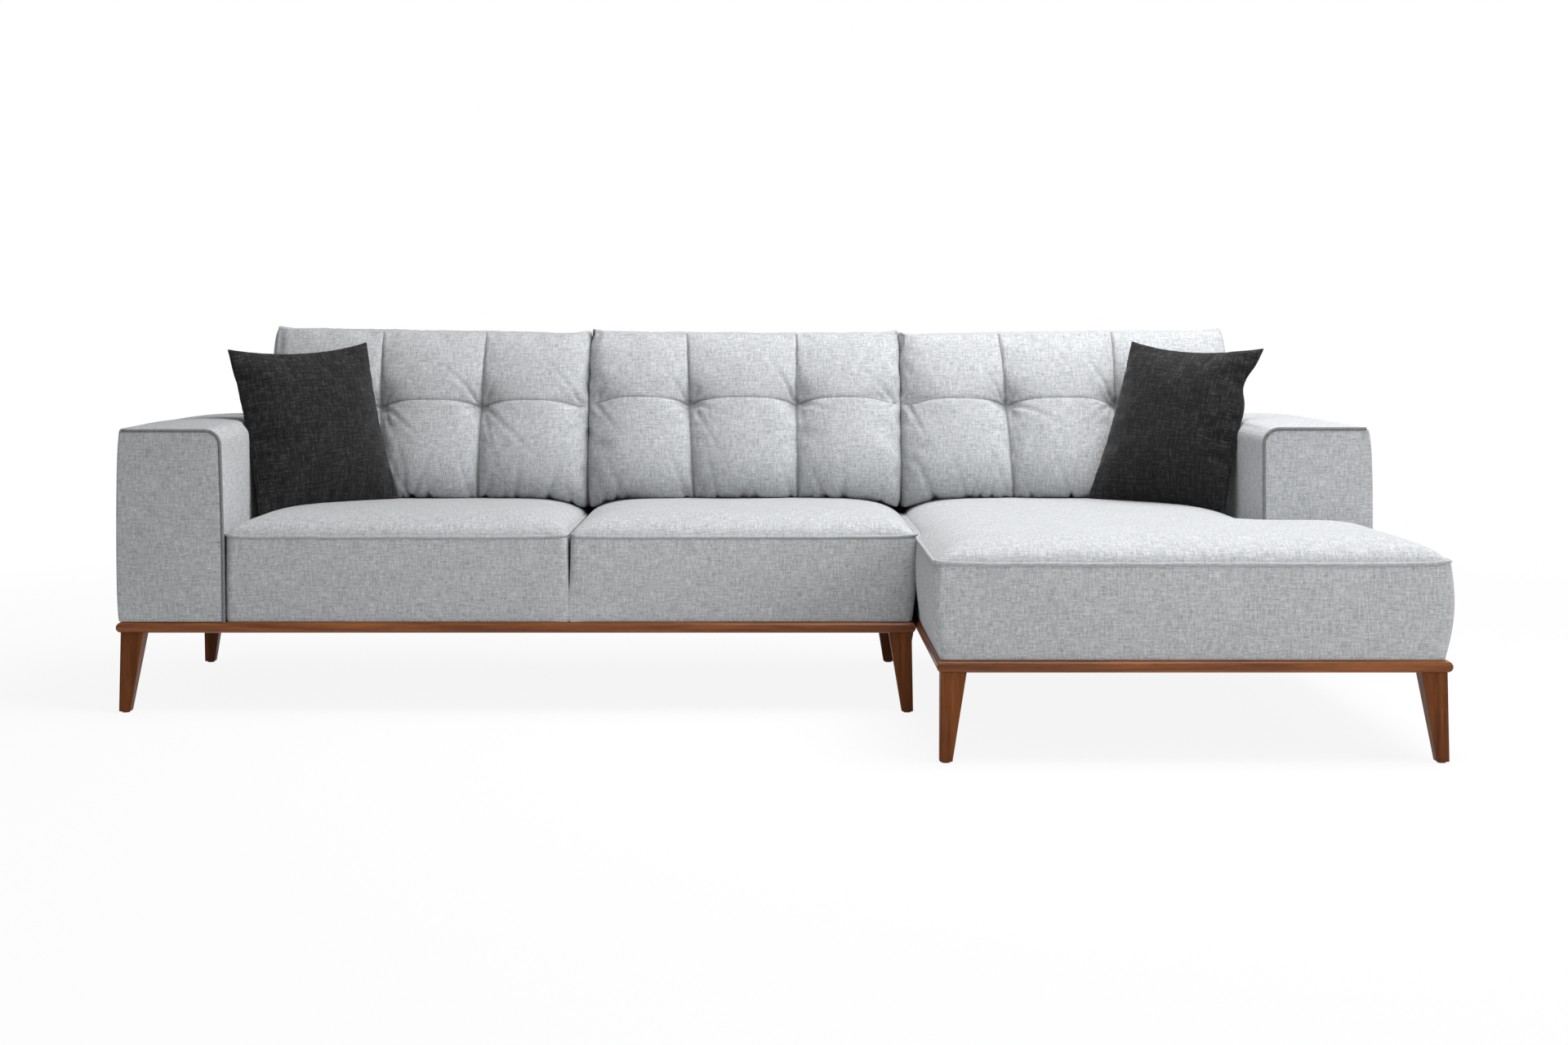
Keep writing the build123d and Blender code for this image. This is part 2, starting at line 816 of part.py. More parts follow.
def cushion_row(left, right, low, high, low_depth, high_depth):
    """Slices of one row of panels, swelling between its two seams."""
    slices = []
    for step in range(row_steps + 1):
        share = step / row_steps
        swell = sin(pi * share)
        depth = low_depth + (high_depth - low_depth) * share + cushion_swell * swell
        puff = seam_puff + panel_puff * swell
        slices.append(cushion_slice(left, right, low + (high - low) * share, depth, puff))
    return slices


def core_block(left, right, grow):
    """The leaning foam core of a back cushion, or with growth the room for it."""
    sections = []
    for height, rise in ((cushion_base + core_margin, -grow), (cushion_top_height - core_top_margin, grow)):
        back = back_face(height) - fit_gap - core_back_margin
        with BuildSketch(Plane.XY.offset(height + rise)) as level:
            with Locations(((left + right) / 2, back - core_depth / 2)):
                Rectangle(right - left - 2 * core_margin + 2 * grow, core_depth + 2 * grow)
        sections.append(level.sketch)
    with BuildPart() as block:
        loft(sections, ruled=True)
    return block


def back_cushion(name, left, right):
    room = core_block(left, right, fit_gap)
    with BuildPart() as cover:
        loft(
            cushion_row(
                left, right, cushion_base, cushion_seam_height, cushion_foot_depth, cushion_seam_depth
            )
        )
        loft(
            cushion_row(
                left, right, cushion_seam_height, cushion_top_height, cushion_seam_depth, cushion_head_depth
            )
        )
        add(room.part, mode=Mode.SUBTRACT)
    save(cover, f"{name}_cover")
    save(core_block(left, right, 0), f"{name}_core")


cushion_play = cushion_gap / 2
module_split = (sofa_right + chaise_left) / 2
back_cushion("back_cushion_left", left_arm_inner + cushion_play, seat_split - cushion_play)
back_cushion("back_cushion_middle", seat_split + cushion_play, module_split - cushion_play)
back_cushion("back_cushion_right", module_split + cushion_play, right_arm_inner - cushion_play)


# Scatter cushions: slices that start at a square rim with drawn-in sides and round off to the crown
def scatter_plane(inner, side):
    """The mid-plane of a scatter cushion that leans in the corner beside an arm."""
    half = scatter_size / 2
    turn = radians(scatter_turn)
    lean = radians(scatter_lean)
    roll = radians(scatter_roll)
    middle = crown_height + scatter_seat_gap + half * cos(lean) * cos(roll)
    swell_height = (cushion_base + cushion_seam_height) / 2
    swell_depth = (cushion_foot_depth + cushion_seam_depth) / 2 + cushion_swell + seam_puff + panel_puff
    swell_front = back_face(swell_height) - fit_gap - swell_depth
    edge_back = half * sin(turn) + (swell_height - middle) * cos(turn) * sin(lean)
    normal = Vector(side * sin(turn) * cos(lean), -cos(turn) * cos(lean), sin(lean))
    across = Vector(cos(turn), side * sin(turn), 0)
    return Plane(
        origin=(inner + side * scatter_from_arm, swell_front + scatter_back_sink - edge_back, middle),
        x_dir=across.rotate(Axis((0, 0, 0), normal), side * scatter_roll),
        z_dir=normal,
    )


def scatter_slice(plane, lift, half, dip):
    corners = [(-half, -half), (half, -half), (half, half), (-half, half)]
    middles = [(0, dip - half), (half - dip, 0), (0, half - dip), (dip - half, 0)]
    with BuildSketch(plane.offset(lift)) as level:
        with BuildLine():
            for start, middle, end in zip(corners, middles, corners[1:] + corners[:1]):
                ThreePointArc(start, middle, end)
        make_face()
    return level.sketch


def scatter_half(plane, direction):
    """Slices from the rim to one crown."""
    slices = []
    for step in range(scatter_steps + 1):
        angle = step / scatter_steps * pi / 2
        lift = direction * scatter_thickness / 2 * sin(angle)
        half = scatter_size / 2 * (1 - scatter_crown_share * step / scatter_steps)
        dip = scatter_rim_dip * cos(angle) - scatter_crown_round * sin(angle)
        slices.append(scatter_slice(plane, lift, half, dip))
    return slices


def insert_block(plane, grow):
    with BuildPart() as block:
        with BuildSketch(plane.offset(-insert_thickness / 2 - grow)):
            Rectangle(insert_side + 2 * grow, insert_side + 2 * grow)
        extrude(amount=insert_thickness + 2 * grow)
        fillet(block.edges(), insert_edge_radius)
    return block


def scatter_cushion(name, inner, side):
    plane = scatter_plane(inner, side)
    with BuildPart() as cover:
        loft(scatter_half(plane, 1))
        loft(scatter_half(plane, -1))
        add(insert_block(plane, fit_gap).part, mode=Mode.SUBTRACT)
    save(cover, f"{name}_cover")
    save(insert_block(plane, 0), f"{name}_insert")


scatter_cushion("scatter_cushion_left", left_arm_inner, 1)
scatter_cushion("scatter_cushion_right", right_arm_inner, -1)
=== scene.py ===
import math
import random

import bmesh
import bpy
import numpy as np
from mathutils import Matrix, Vector, noise
from mathutils.bvhtree import BVHTree


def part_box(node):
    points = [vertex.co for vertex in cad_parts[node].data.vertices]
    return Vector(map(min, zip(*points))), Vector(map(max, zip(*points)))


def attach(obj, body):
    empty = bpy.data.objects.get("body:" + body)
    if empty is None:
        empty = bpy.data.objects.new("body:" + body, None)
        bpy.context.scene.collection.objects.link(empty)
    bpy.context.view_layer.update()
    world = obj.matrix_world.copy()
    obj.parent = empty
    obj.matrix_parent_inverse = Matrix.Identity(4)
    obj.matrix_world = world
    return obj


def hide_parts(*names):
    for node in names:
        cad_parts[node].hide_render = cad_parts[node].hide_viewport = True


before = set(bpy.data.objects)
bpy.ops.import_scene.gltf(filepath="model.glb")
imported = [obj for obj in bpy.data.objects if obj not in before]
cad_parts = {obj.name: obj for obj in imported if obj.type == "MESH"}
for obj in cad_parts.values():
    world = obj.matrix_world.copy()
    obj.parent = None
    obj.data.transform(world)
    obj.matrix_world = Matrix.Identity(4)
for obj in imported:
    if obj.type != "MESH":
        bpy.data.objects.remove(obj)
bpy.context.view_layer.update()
scene = bpy.context.scene
scene.view_settings.view_transform = "Standard"


# The studio: a pale floor that runs out of sight under an even white surround, a broad lamp
# overhead, a softer one high on the right, and the camera straight in front at chest height.
class Shade:
    """One socket of a material's nodes; arithmetic on it adds Math nodes."""

    def __init__(self, tree, socket=None):
        self.tree = tree
        self.socket = socket

    def node(self, kind, settings, sockets, out=0):
        made = self.tree.nodes.new(kind)
        for name, value in settings.items():
            if name == "stops":
                stops = made.color_ramp.elements
                for place, colour in value[1:-1]:
                    stops.new(place).color = (*colour, 1)
                stops[0].position, stops[0].color = value[0][0], (*value[0][1], 1)
                stops[-1].position, stops[-1].color = value[-1][0], (*value[-1][1], 1)
            else:
                setattr(made, name, value)
        for name, value in sockets.items():
            if isinstance(value, Shade):
                self.tree.links.new(value.socket, made.inputs[name])
            else:
                made.inputs[name].default_value = value
        return Shade(self.tree, made.outputs[out])

    def maths(self, operation, first, second):
        return self.node("ShaderNodeMath", {"operation": operation}, {0: first, 1: second})

    def __add__(self, other):
        return self.maths("ADD", self, other)

    __radd__ = __add__

    def __sub__(self, other):
        return self.maths("SUBTRACT", self, other)

    def __rsub__(self, other):
        return self.maths("SUBTRACT", other, self)

    def __mul__(self, other):
        return self.maths("MULTIPLY", self, other)

    __rmul__ = __mul__

    def sine(self):
        return self.maths("SINE", self, 0.0)

    def clear_of(self, low, high):
        """0 up to low, 1 from high on, even between."""
        return self.node(
            "ShaderNodeMapRange", {"clamp": True}, {"Value": self, "From Min": low, "From Max": high}
        )

    def between(self, first, second):
        """A colour mixed from two by this socket."""
        return self.node("ShaderNodeMix", {"data_type": "RGBA"}, {0: self, 6: first, 7: second}, 2)

    def grain(self, place, stretch, detail, distortion=0.0):
        """Noise over a stretched place."""
        stretched = self.node("ShaderNodeMapping", {}, {"Vector": place, "Scale": stretch})
        return self.node(
            "ShaderNodeTexNoise",
            {},
            {"Vector": stretched, "Scale": 1.0, "Detail": detail, "Distortion": distortion},
        )

    def into(self, surface, name):
        self.tree.links.new(self.socket, surface.inputs[name])


def new_finish(name):
    """A material, a way into its nodes, and its surface shader."""
    material = bpy.data.materials.new(name)
    material.use_nodes = True
    return material, Shade(material.node_tree), material.node_tree.nodes["Principled BSDF"]


floor_shape = bmesh.new()
bmesh.ops.create_grid(floor_shape, x_segments=1, y_segments=1, size=60)
floor_mesh = bpy.data.meshes.new("studio_floor")
floor_shape.to_mesh(floor_mesh)
floor_shape.free()
floor = bpy.data.objects.new("studio_floor", floor_mesh)
scene.collection.objects.link(floor)

floor_finish, shade, surface = new_finish("pale_floor")
surface.inputs["Base Color"].default_value = (0.83, 0.83, 0.83, 1)
surface.inputs["Roughness"].default_value = 0.9
surface.inputs["Specular IOR Level"].default_value = 0.1
seen = shade.node("ShaderNodeLightPath", {}, {}, "Is Camera Ray")
glossy = shade.node("ShaderNodeLightPath", {}, {}, "Is Glossy Ray")
place = shade.node("ShaderNodeTexCoord", {}, {}, "Object")
away = shade.node("ShaderNodeVectorMath", {"operation": "LENGTH"}, {0: place}, "Value")
fade = away.clear_of(1.6, 4.5) * 0.1 + 0.9
white = shade.node("ShaderNodeEmission", {}, {"Color": (1, 1, 1, 1), "Strength": 1.0})
lit = Shade(shade.tree, surface.outputs[0])
mixed = shade.node("ShaderNodeMixShader", {}, {0: (seen + glossy) * fade, 1: lit, 2: white})
mixed.into(floor_finish.node_tree.nodes["Material Output"], "Surface")
floor_mesh.materials.append(floor_finish)

world = bpy.data.worlds.new("studio_surround")
world.use_nodes = True
scene.world = world
shade = Shade(world.node_tree)
seen = shade.node("ShaderNodeLightPath", {}, {}, "Is Camera Ray")
glossy = shade.node("ShaderNodeLightPath", {}, {}, "Is Glossy Ray")
lit = shade.node("ShaderNodeBackground", {}, {"Color": (0.95, 0.97, 1.0, 1), "Strength": 0.26})
shown = shade.node("ShaderNodeBackground", {}, {"Color": (1, 1, 1, 1), "Strength": 1.0})
mixed = shade.node("ShaderNodeMixShader", {}, {0: seen + glossy * 0.5, 1: lit, 2: shown})
mixed.into(world.node_tree.nodes["World Output"], "Surface")


def lamp(name, place, target, width, height, power):
    """A rectangular lamp that faces a target."""
    light = bpy.data.lights.new(name, "AREA")
    light.shape = "RECTANGLE"
    light.size = width
    light.size_y = height
    light.energy = power
    made = bpy.data.objects.new(name, light)
    made.location = place
    made.rotation_euler = (Vector(target) - Vector(place)).to_track_quat("-Z", "Y").to_euler()
    scene.collection.objects.link(made)


lamp("lamp_overhead", (1.4, -0.45, 3.5), (0.6, 0.1, 0.4), 3.4, 2.2, 180)
lamp("lamp_front_right", (3.8, -3.2, 2.2), (0.8, 0.2, 0.5), 2.4, 1.8, 46)

lens = bpy.data.cameras.new("photo_camera")
lens.sensor_width = 36
lens.lens = 55.03
lens.shift_x = 0.0121
lens.shift_y = -0.12
camera = bpy.data.objects.new("photo_camera", lens)
camera.location = (0.05, -5.794, 0.897)
camera.rotation_euler = (math.pi / 2, 0, 0)
scene.collection.objects.link(camera)
scene.camera = camera


# Legs and plinth: walnut-stained hardwood under a satin lacquer. Each leg is sawn to taper on its two
# inner faces and bolted up into a corner block; the plinth is four half-round mouldings mitred at the
# corners.
walnut_hues = [(0.34, (0.068, 0.019, 0.005)), (0.52, (0.155, 0.046, 0.0115)), (0.7, (0.265, 0.086, 0.024))]
grain_stretch = 0.06


def walnut(name, along, tint, sheen):
    """Stained wood with its grain along one axis; tint lightens the stain, sheen weighs the lacquer."""
    material, shade, surface = new_finish(name)
    place = shade.node("ShaderNodeTexCoord", {}, {}, "Object")

    def grain_of(spread, detail, distortion=0.0):
        stretch = [spread, spread, spread]
        stretch[along] = spread * grain_stretch
        return shade.grain(place, stretch, detail, distortion)

    figure = grain_of(26.0, 4.0, 1.6)
    streaks = grain_of(150.0, 3.0, 0.4)
    pores = grain_of(700.0, 1.0)
    tone = figure * 0.62 + streaks * 0.3 + pores * 0.12
    colour = shade.node(
        "ShaderNodeValToRGB",
        {"stops": [(stop, [tint * part for part in hue]) for stop, hue in walnut_hues]},
        {"Fac": tone},
    )
    colour.into(surface, "Base Color")
    (0.4 + streaks * 0.16).into(surface, "Roughness")
    surface.inputs["Specular IOR Level"].default_value = 0.12
    surface.inputs["Coat Weight"].default_value = sheen
    surface.inputs["Coat Roughness"].default_value = 0.12
    raised = shade.node(
        "ShaderNodeBump", {}, {"Strength": 0.18, "Distance": 0.0006, "Height": pores * 0.6 + streaks * 0.4}
    )
    raised.into(surface, "Normal")
    return material


grain_lengthwise = walnut("walnut_lengthwise", 0, 1.2, 0.3)
grain_front_to_back = walnut("walnut_front_to_back", 1, 1.2, 0.3)
grain_upright = walnut("walnut_upright", 2, 0.95, 0.0)


def dress(node, finish):
    """Give a CAD node one finish."""
    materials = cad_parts[node].data.materials
    materials.clear()
    materials.append(finish)


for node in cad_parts:
    if node.endswith(("plinth_front", "plinth_back")):
        dress(node, grain_lengthwise)
    elif node.endswith(("plinth_left", "plinth_right")):
        dress(node, grain_front_to_back)
    elif "_leg_" in node and not node.endswith("glides"):
        dress(node, grain_upright)


# Fittings and frame: moulded nylon glides under the legs, a black felted dust cloth stapled below,
# zinc-plated bolts and hook plates, and a frame of sawn softwood strung with elastic webbing.
def plain_finish(name, dark, light, spread, roughness, metallic, lift):
    """A finish mottled between two tones; spread is how fine the mottle is, lift how far it stands up."""
    material, shade, surface = new_finish(name)
    place = shade.node("ShaderNodeTexCoord", {}, {}, "Object")
    mottle = shade.grain(place, (spread, spread, spread), 3.0)
    mottle.clear_of(0.3, 0.7).between((*dark, 1), (*light, 1)).into(surface, "Base Color")
    (roughness - 0.08 + mottle * 0.16).into(surface, "Roughness")
    surface.inputs["Metallic"].default_value = metallic
    bump = shade.node("ShaderNodeBump", {}, {"Strength": lift, "Distance": 0.0005, "Height": mottle})
    bump.into(surface, "Normal")
    return material


nylon = plain_finish("moulded_nylon", (0.035, 0.028, 0.024), (0.06, 0.05, 0.044), 900.0, 0.5, 0.0, 0.1)
felt = plain_finish("dust_cloth_felt", (0.018, 0.018, 0.02), (0.05, 0.05, 0.054), 700.0, 0.9, 0.0, 0.5)
zinc = plain_finish("zinc_plated_steel", (0.42, 0.43, 0.45), (0.6, 0.61, 0.62), 260.0, 0.36, 1.0, 0.08)
strapping = plain_finish(
    "elastic_strapping", (0.03, 0.03, 0.033), (0.09, 0.09, 0.095), 800.0, 0.85, 0.0, 0.5
)
softwood = plain_finish("sawn_softwood", (0.46, 0.31, 0.17), (0.66, 0.49, 0.3), 90.0, 0.7, 0.0, 0.3)
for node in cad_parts:
    if node.endswith("glides"):
        dress(node, nylon)
    elif node.endswith("dust_cover"):
        dress(node, felt)
    elif node.endswith("frame_bolts") or node.startswith("connector"):
        dress(node, zinc)
    elif node.endswith("webbing"):
        dress(node, strapping)
    elif node.endswith(("rails", "blocks", "_frame")):
        dress(node, softwood)


# Seats: high-resilience foam on webbing under a glued wadding, in a light grey melange cloth. A border
# runs round each seat, a crowned top is sewn to it, and a self-piping covers that seam.
def melange(name, shadow, body, light, pitch, fleck):
    """A plain weave of mottled yarns; pitch is the thread spacing, fleck how far the slubs stand out."""
    material, shade, surface = new_finish(name)
    lie = shade.node("ShaderNodeUVMap", {"uv_map": "weave"}, {})
    across = lie.node("ShaderNodeSeparateXYZ", {}, {0: lie}, "X")
    up = lie.node("ShaderNodeSeparateXYZ", {}, {0: lie}, "Y")
    fine = 1.0 / pitch
    weft = shade.grain(lie, (fine * 0.12, fine, 1.0), 2.0)
    warp = shade.grain(lie, (fine, fine * 0.12, 1.0), 2.0)
    slubs = shade.grain(lie, (fine * 0.04, fine * 0.4, 1.0), 2.0)
    bars = shade.grain(lie, (fine * 0.4, fine * 0.04, 1.0), 2.0)
    cloud = shade.grain(lie, (7.0, 7.0, 1.0), 2.0)
    tone = (weft + warp - 1.0) * fleck + (slubs + bars - 1.0) * (fleck * 0.7) + (cloud - 0.5) * 0.1 + 0.5
    colour = shade.node(
        "ShaderNodeValToRGB", {"stops": [(0.15, shadow), (0.5, body), (0.85, light)]}, {"Fac": tone}
    )
    # Painted shade: a thin dark line, down to about a third of the darkest yarn's tone, along the cushion
    # seams where their creases are shaded.
    sewn = shade.node("ShaderNodeAttribute", {"attribute_name": "sewn"}, {}, "Fac")
    (sewn * 0.75).between(colour, (*[tint * 0.35 for tint in shadow], 1)).into(surface, "Base Color")
    surface.inputs["Roughness"].default_value = 0.92
    surface.inputs["Specular IOR Level"].default_value = 0.2
    surface.inputs["Sheen Weight"].default_value = 0.12
    surface.inputs["Sheen Roughness"].default_value = 0.5
    turns = 2 * math.pi / (2 * pitch)
    threads = (across * turns).sine() * (up * turns).sine()
    height = threads * 0.35 + (weft + warp) * 0.5
    bump = shade.node("ShaderNodeBump", {}, {"Strength": 0.35, "Distance": pitch * 0.35, "Height": height})
    bump.into(surface, "Normal")
    return material


grey_cloth = melange(
    "grey_melange_cloth", (0.26, 0.267, 0.273), (0.45, 0.46, 0.47), (0.65, 0.66, 0.67), 0.0015, 0.8
)
# Painted shade: the arm piping is the grey cloth at well under half its brightness, standing in for the
# shade in the groove where it is sewn.
arm_piping_painted_shade = melange(
    "grey_sunk_piping_cloth", (0.11, 0.113, 0.116), (0.19, 0.195, 0.2), (0.27, 0.275, 0.28), 0.0015, 0.75
)
# Painted shade: the seat piping is the grey cloth made a little darker, standing in for the shaded line
# beside the cord.
seat_piping_painted_shade = melange(
    "grey_piping_cloth", (0.25, 0.257, 0.264), (0.42, 0.43, 0.44), (0.6, 0.61, 0.62), 0.0015, 0.75
)


def lay_weave(cloth):
    """Each face takes the two directions it lies in as its weave's own, in metres."""
    weave = cloth.loops.layers.uv.new("weave")
    for face in cloth.faces:
        facing = max(range(3), key=lambda axis: abs(face.normal[axis]))
        across, up = ((1, 2), (0, 2), (0, 1))[facing]
        for corner in face.loops:
            corner[weave].uv = (corner.vert.co[across], corner.vert.co[up])


def upright_block(outline, low, high):
    """An outline extruded straight up."""
    block = bmesh.new()
    sole = block.faces.new([block.verts.new((x, y, low)) for x, y in outline])
    raised = bmesh.ops.extrude_face_region(block, geom=[sole], use_keep_orig=True)["geom"]
    lifted = [part for part in raised if isinstance(part, bmesh.types.BMVert)]
    bmesh.ops.translate(block, verts=lifted, vec=(0, 0, high - low))
    bmesh.ops.recalc_face_normals(block, faces=block.faces)
    return block


def cut_across(block, axis, places):
    """Cut a block at right angles to an axis, so that its faces become a fine net."""
    normal = [0, 0, 0]
    normal[axis] = 1
    for place in places:
        through = [0, 0, 0]
        through[axis] = place
        everything = block.verts[:] + block.edges[:] + block.faces[:]
        bmesh.ops.bisect_plane(block, geom=everything, plane_co=through, plane_no=normal, dist=1e-6)


def crowding(low, high, step):
    """Places for cuts, closer together towards both ends."""
    margins = [margin for margin in (0.007, 0.02, 0.04, 0.066, 0.1) if margin < (high - low) * 0.4]
    start = low + margins[-1]
    end = high - margins[-1]
    count = max(1, round((end - start) / step))
    middle = [start + (end - start) * index / count for index in range(count + 1)]
    return [low + margin for margin in margins[:-1]] + middle + [high - margin for margin in margins[:-1]]


def walk(edges):
    """The corners along a run of joined edges, in order, and whether the run closes on itself."""
    links = {}
    for edge in edges:
        first, second = edge.verts
        links.setdefault(first, []).append(second)
        links.setdefault(second, []).append(first)
    ends = [corner for corner, near in links.items() if len(near) == 1]
    run = [ends[0] if ends else next(iter(links))]
    before = None
    while True:
        onward = [corner for corner in links[run[-1]] if corner != before]
        if not onward or (len(run) > 2 and onward[0] == run[0]):
            return run, not ends
        before = run[-1]
        run.append(onward[0])


def piece(name, shape, finish, body, nodes):
    """A finished shape as an object that rides with a body and stands for CAD nodes."""
    mesh = bpy.data.meshes.new(name)
    shape.to_mesh(mesh)
    shape.free()
    mesh.polygons.foreach_set("use_smooth", [True] * len(mesh.polygons))
    mesh.materials.append(finish)
    made = bpy.data.objects.new(name, mesh)
    scene.collection.objects.link(made)
    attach(made, body)
    if nodes:
        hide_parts(*nodes)
    return made


def softened(made, levels):
    """Round a piece's net by subdivision."""
    smooth = made.modifiers.new("softened", "SUBSURF")
    smooth.levels = levels
    smooth.render_levels = levels
    return made


welt_radius = 0.0042


def piping(name, runs, finish, body, nodes):
    """Cloth-wrapped cord sewn along seams, each seam a run of places."""
    line = bpy.data.curves.new(name, "CURVE")
    line.dimensions = "3D"
    line.bevel_depth = welt_radius
    line.bevel_resolution = 3
    line.use_fill_caps = True
    for places, closed in runs:
        spline = line.splines.new("POLY")
        spline.points.add(len(places) - 1)
        for point, place in zip(spline.points, places):
            point.co = (*place, 1)
        spline.use_cyclic_u = closed
    guide = bpy.data.objects.new(name + "_guide", line)
    scene.collection.objects.link(guide)
    swept = bpy.data.meshes.new_from_object(guide)
    tube = bmesh.new()
    tube.from_mesh(swept)
    bpy.data.objects.remove(guide)
    bpy.data.meshes.remove(swept)
    bmesh.ops.remove_doubles(tube, verts=tube.verts, dist=1e-6)
    bmesh.ops.recalc_face_normals(tube, faces=tube.faces)
    lay_weave(tube)
    return piece(name, tube, finish, body, nodes)


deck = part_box("sofa_seat_cover_left")[0].z
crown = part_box("sofa_seat_cover_left")[1].z
seat_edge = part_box("sofa_seat_foams")[1].z + 0.0004
seat_corner = 0.018
crown_reach = 0.15
pad_step = 0.045
pad_ripple = 0.0016
# How far the border is drawn in at its foot, its upper edge and its seam, and the seam's ends lifted
foot_draw, edge_draw, seam_sink, seam_lift = 0.005, 0.003, 0.0022, 0.0045
# How far above the deck two seats begin to part, over what rise, and how far from there they are drawn in
split_foot, split_rise, split_reach = 0.07, 0.05, 0.009
# How little the chaise's side swells beside the sofa, and the run over which it comes free in front of it
held_in, free_run = 0.1, 0.08


def seat_pad(outline, notch, split_side, swell):
    """Border and crowned top of one seat. notch is the corner cut out for an arm, split_side where two
    seats part only in the upper half of the border. swell gives each side's bulge at mid-height, how far
    its upper edge hangs out and how much it is drawn in; the chaise's left side swells only in front of the
    sofa, where nothing holds it in."""
    block = upright_block(outline, deck, seat_edge)
    upright = [
        edge for edge in block.edges
        if abs(edge.verts[0].co.z - edge.verts[1].co.z) > 0.01
        and (notch is None or (edge.verts[0].co.xy - Vector(notch)).length > 0.005)
    ]
    bmesh.ops.bevel(
        block, geom=upright, offset=seat_corner, affect="EDGES", segments=5, profile=0.5, material=-1
    )
    xs = [x for x, _ in outline]
    ys = [y for _, y in outline]
    limits = (min(xs), max(xs), min(ys), max(ys))
    across = crowding(limits[0], limits[1], pad_step)
    along = crowding(limits[2], limits[3], pad_step)
    if notch is not None:
        across += [notch[0] - margin for margin in (0.007, 0.02, 0.0)]
        along += [notch[1] - margin for margin in (0.007, 0.02, 0.0)]
    cut_across(block, 0, across)
    cut_across(block, 1, along)
    cut_across(block, 2, crowding(deck, seat_edge, 0.03))
    block.normal_update()
    seam = [
        edge for edge in block.edges
        if len(edge.link_faces) == 2
        and max(face.normal.z for face in edge.link_faces) > 0.9
        and min(face.normal.z for face in edge.link_faces) < 0.1
    ]
    seam_corners = {corner for edge in seam for corner in edge.verts}

    def inward(x, y):
        sides = [x - limits[0], limits[1] - x, y - limits[2], limits[3] - y]
        if notch is not None:
            left, front = notch[0] - x, notch[1] - y
            sides.append(math.hypot(left, front) if min(left, front) > 0 else max(left, front))
        return max(0.0, min(sides))

    moves = {}
    for corner in block.verts:
        x, y, z = corner.co
        flat = Vector((corner.normal.x, corner.normal.y, 0))
        outward = flat.normalized() if flat.length > 0.05 else Vector((0, 0, 0))
        ripple = noise.noise(Vector((x, y, z)) * 5.0) * pad_ripple
        if z > seat_edge - 1e-5 and corner not in seam_corners:
            share = min(inward(x, y) / crown_reach, 1.0)
            rise = (crown - seat_edge) * math.sqrt(1 - (1 - share) ** 2)
            moves[corner] = Vector((0, 0, rise + ripple * share))
        else:
            height = (z - deck) / (seat_edge - deck)
            draw = (foot_draw if height < 0.5 else edge_draw) * (2 * height - 1) ** 2
            if corner in seam_corners:
                draw += seam_sink
            sides = {"left": -outward.x, "right": outward.x, "front": -outward.y}
            bulge = over = 0.0
            for side, facing in sides.items():
                share = max(0.0, facing) ** 2
                out, hang, drawn = swell[side]
                free = 1.0
                if notch is not None and side == "left":
                    free = min(1.0, max(held_in, (sofa_front - y) / free_run))
                bulge += share * out * free
                over += share * hang * free
                draw *= 1 - share * (1 - drawn)
            step = outward * ((ripple + bulge) * math.sin(math.pi * height) - draw + over * height ** 2)
            if corner in seam_corners:
                span = limits[1] - limits[0]
                end = abs(2 * (x - limits[0]) / span - 1)
                step.z += seam_lift * end ** 10 + noise.noise(Vector((x, y, 0)) * 9.0) * 0.0012
            moves[corner] = step
    for corner, step in moves.items():
        corner.co += step
    if split_side is not None:
        for corner in block.verts:
            aside = abs(corner.co.x - split_side)
            closed = 1 - min(1.0, max(0.0, (corner.co.z - deck - split_foot) / split_rise))
            if aside < seat_corner * 1.4 and corner.co.y < limits[2] + seat_corner * 1.4:
                edge = min(aside / seat_corner, 1.0)
                corner.co.y += (limits[2] + 0.003 - corner.co.y) * closed * 0.9 * (1 - edge * 0.3)
            if aside < split_reach:
                share = min(1.0, (split_reach - aside) / 0.004)
                corner.co.x += (split_middle - corner.co.x) * closed * share
    top = [
        corner for corner in block.verts
        if corner not in seam_corners and corner.co.z > seat_edge + 0.004
    ]
    for _ in range(2):
        bmesh.ops.smooth_vert(
            block, verts=top, factor=0.4, use_axis_x=True, use_axis_y=True, use_axis_z=True
        )
    block.normal_update()
    run, closed = walk(seam)
    return block, ([corner.co.copy() for corner in run], closed)


def plan(low, high):
    """The four corners of a box seen from above."""
    return [(low.x, low.y), (high.x, low.y), (high.x, high.y), (low.x, high.y)]


seat_places = {which: plan(*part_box(f"sofa_seat_cover_{which}")) for which in ("left", "right")}
split = {"left": seat_places["left"][1][0], "right": seat_places["right"][0][0]}
split_middle = (split["left"] + split["right"]) / 2
sofa_front = seat_places["right"][0][1]
seat_swells = {
    "left": {"left": (0.0, 0.0, 0.1), "right": (0.0, 0.0, 1.0), "front": (0.003, 0.002, 1.0)},
    "right": {"left": (0.0, 0.0, 1.0), "right": (0.007, 0.010, 0.4), "front": (0.003, 0.002, 1.0)},
    "chaise": {"left": (0.011, 0.0135, 0.5), "right": (0.012, 0.011, 1.0), "front": (0.005, 0.002, 1.0)},
}
welts = []
for which, outline in seat_places.items():
    pad, seam = seat_pad(outline, None, split[which], seat_swells[which])
    lay_weave(pad)
    nodes = [f"sofa_seat_cover_{which}"] + (["sofa_seat_foams"] if which == "left" else [])
    made = piece(f"seat_{which}", pad, grey_cloth, "sofa", nodes)
    softened(made, 2)
    welts.append(seam)
# The seat piping takes the slightly darker cloth: painted shade along the welts.
piping("seat_piping", welts, seat_piping_painted_shade, "sofa", ["sofa_seat_welts"])

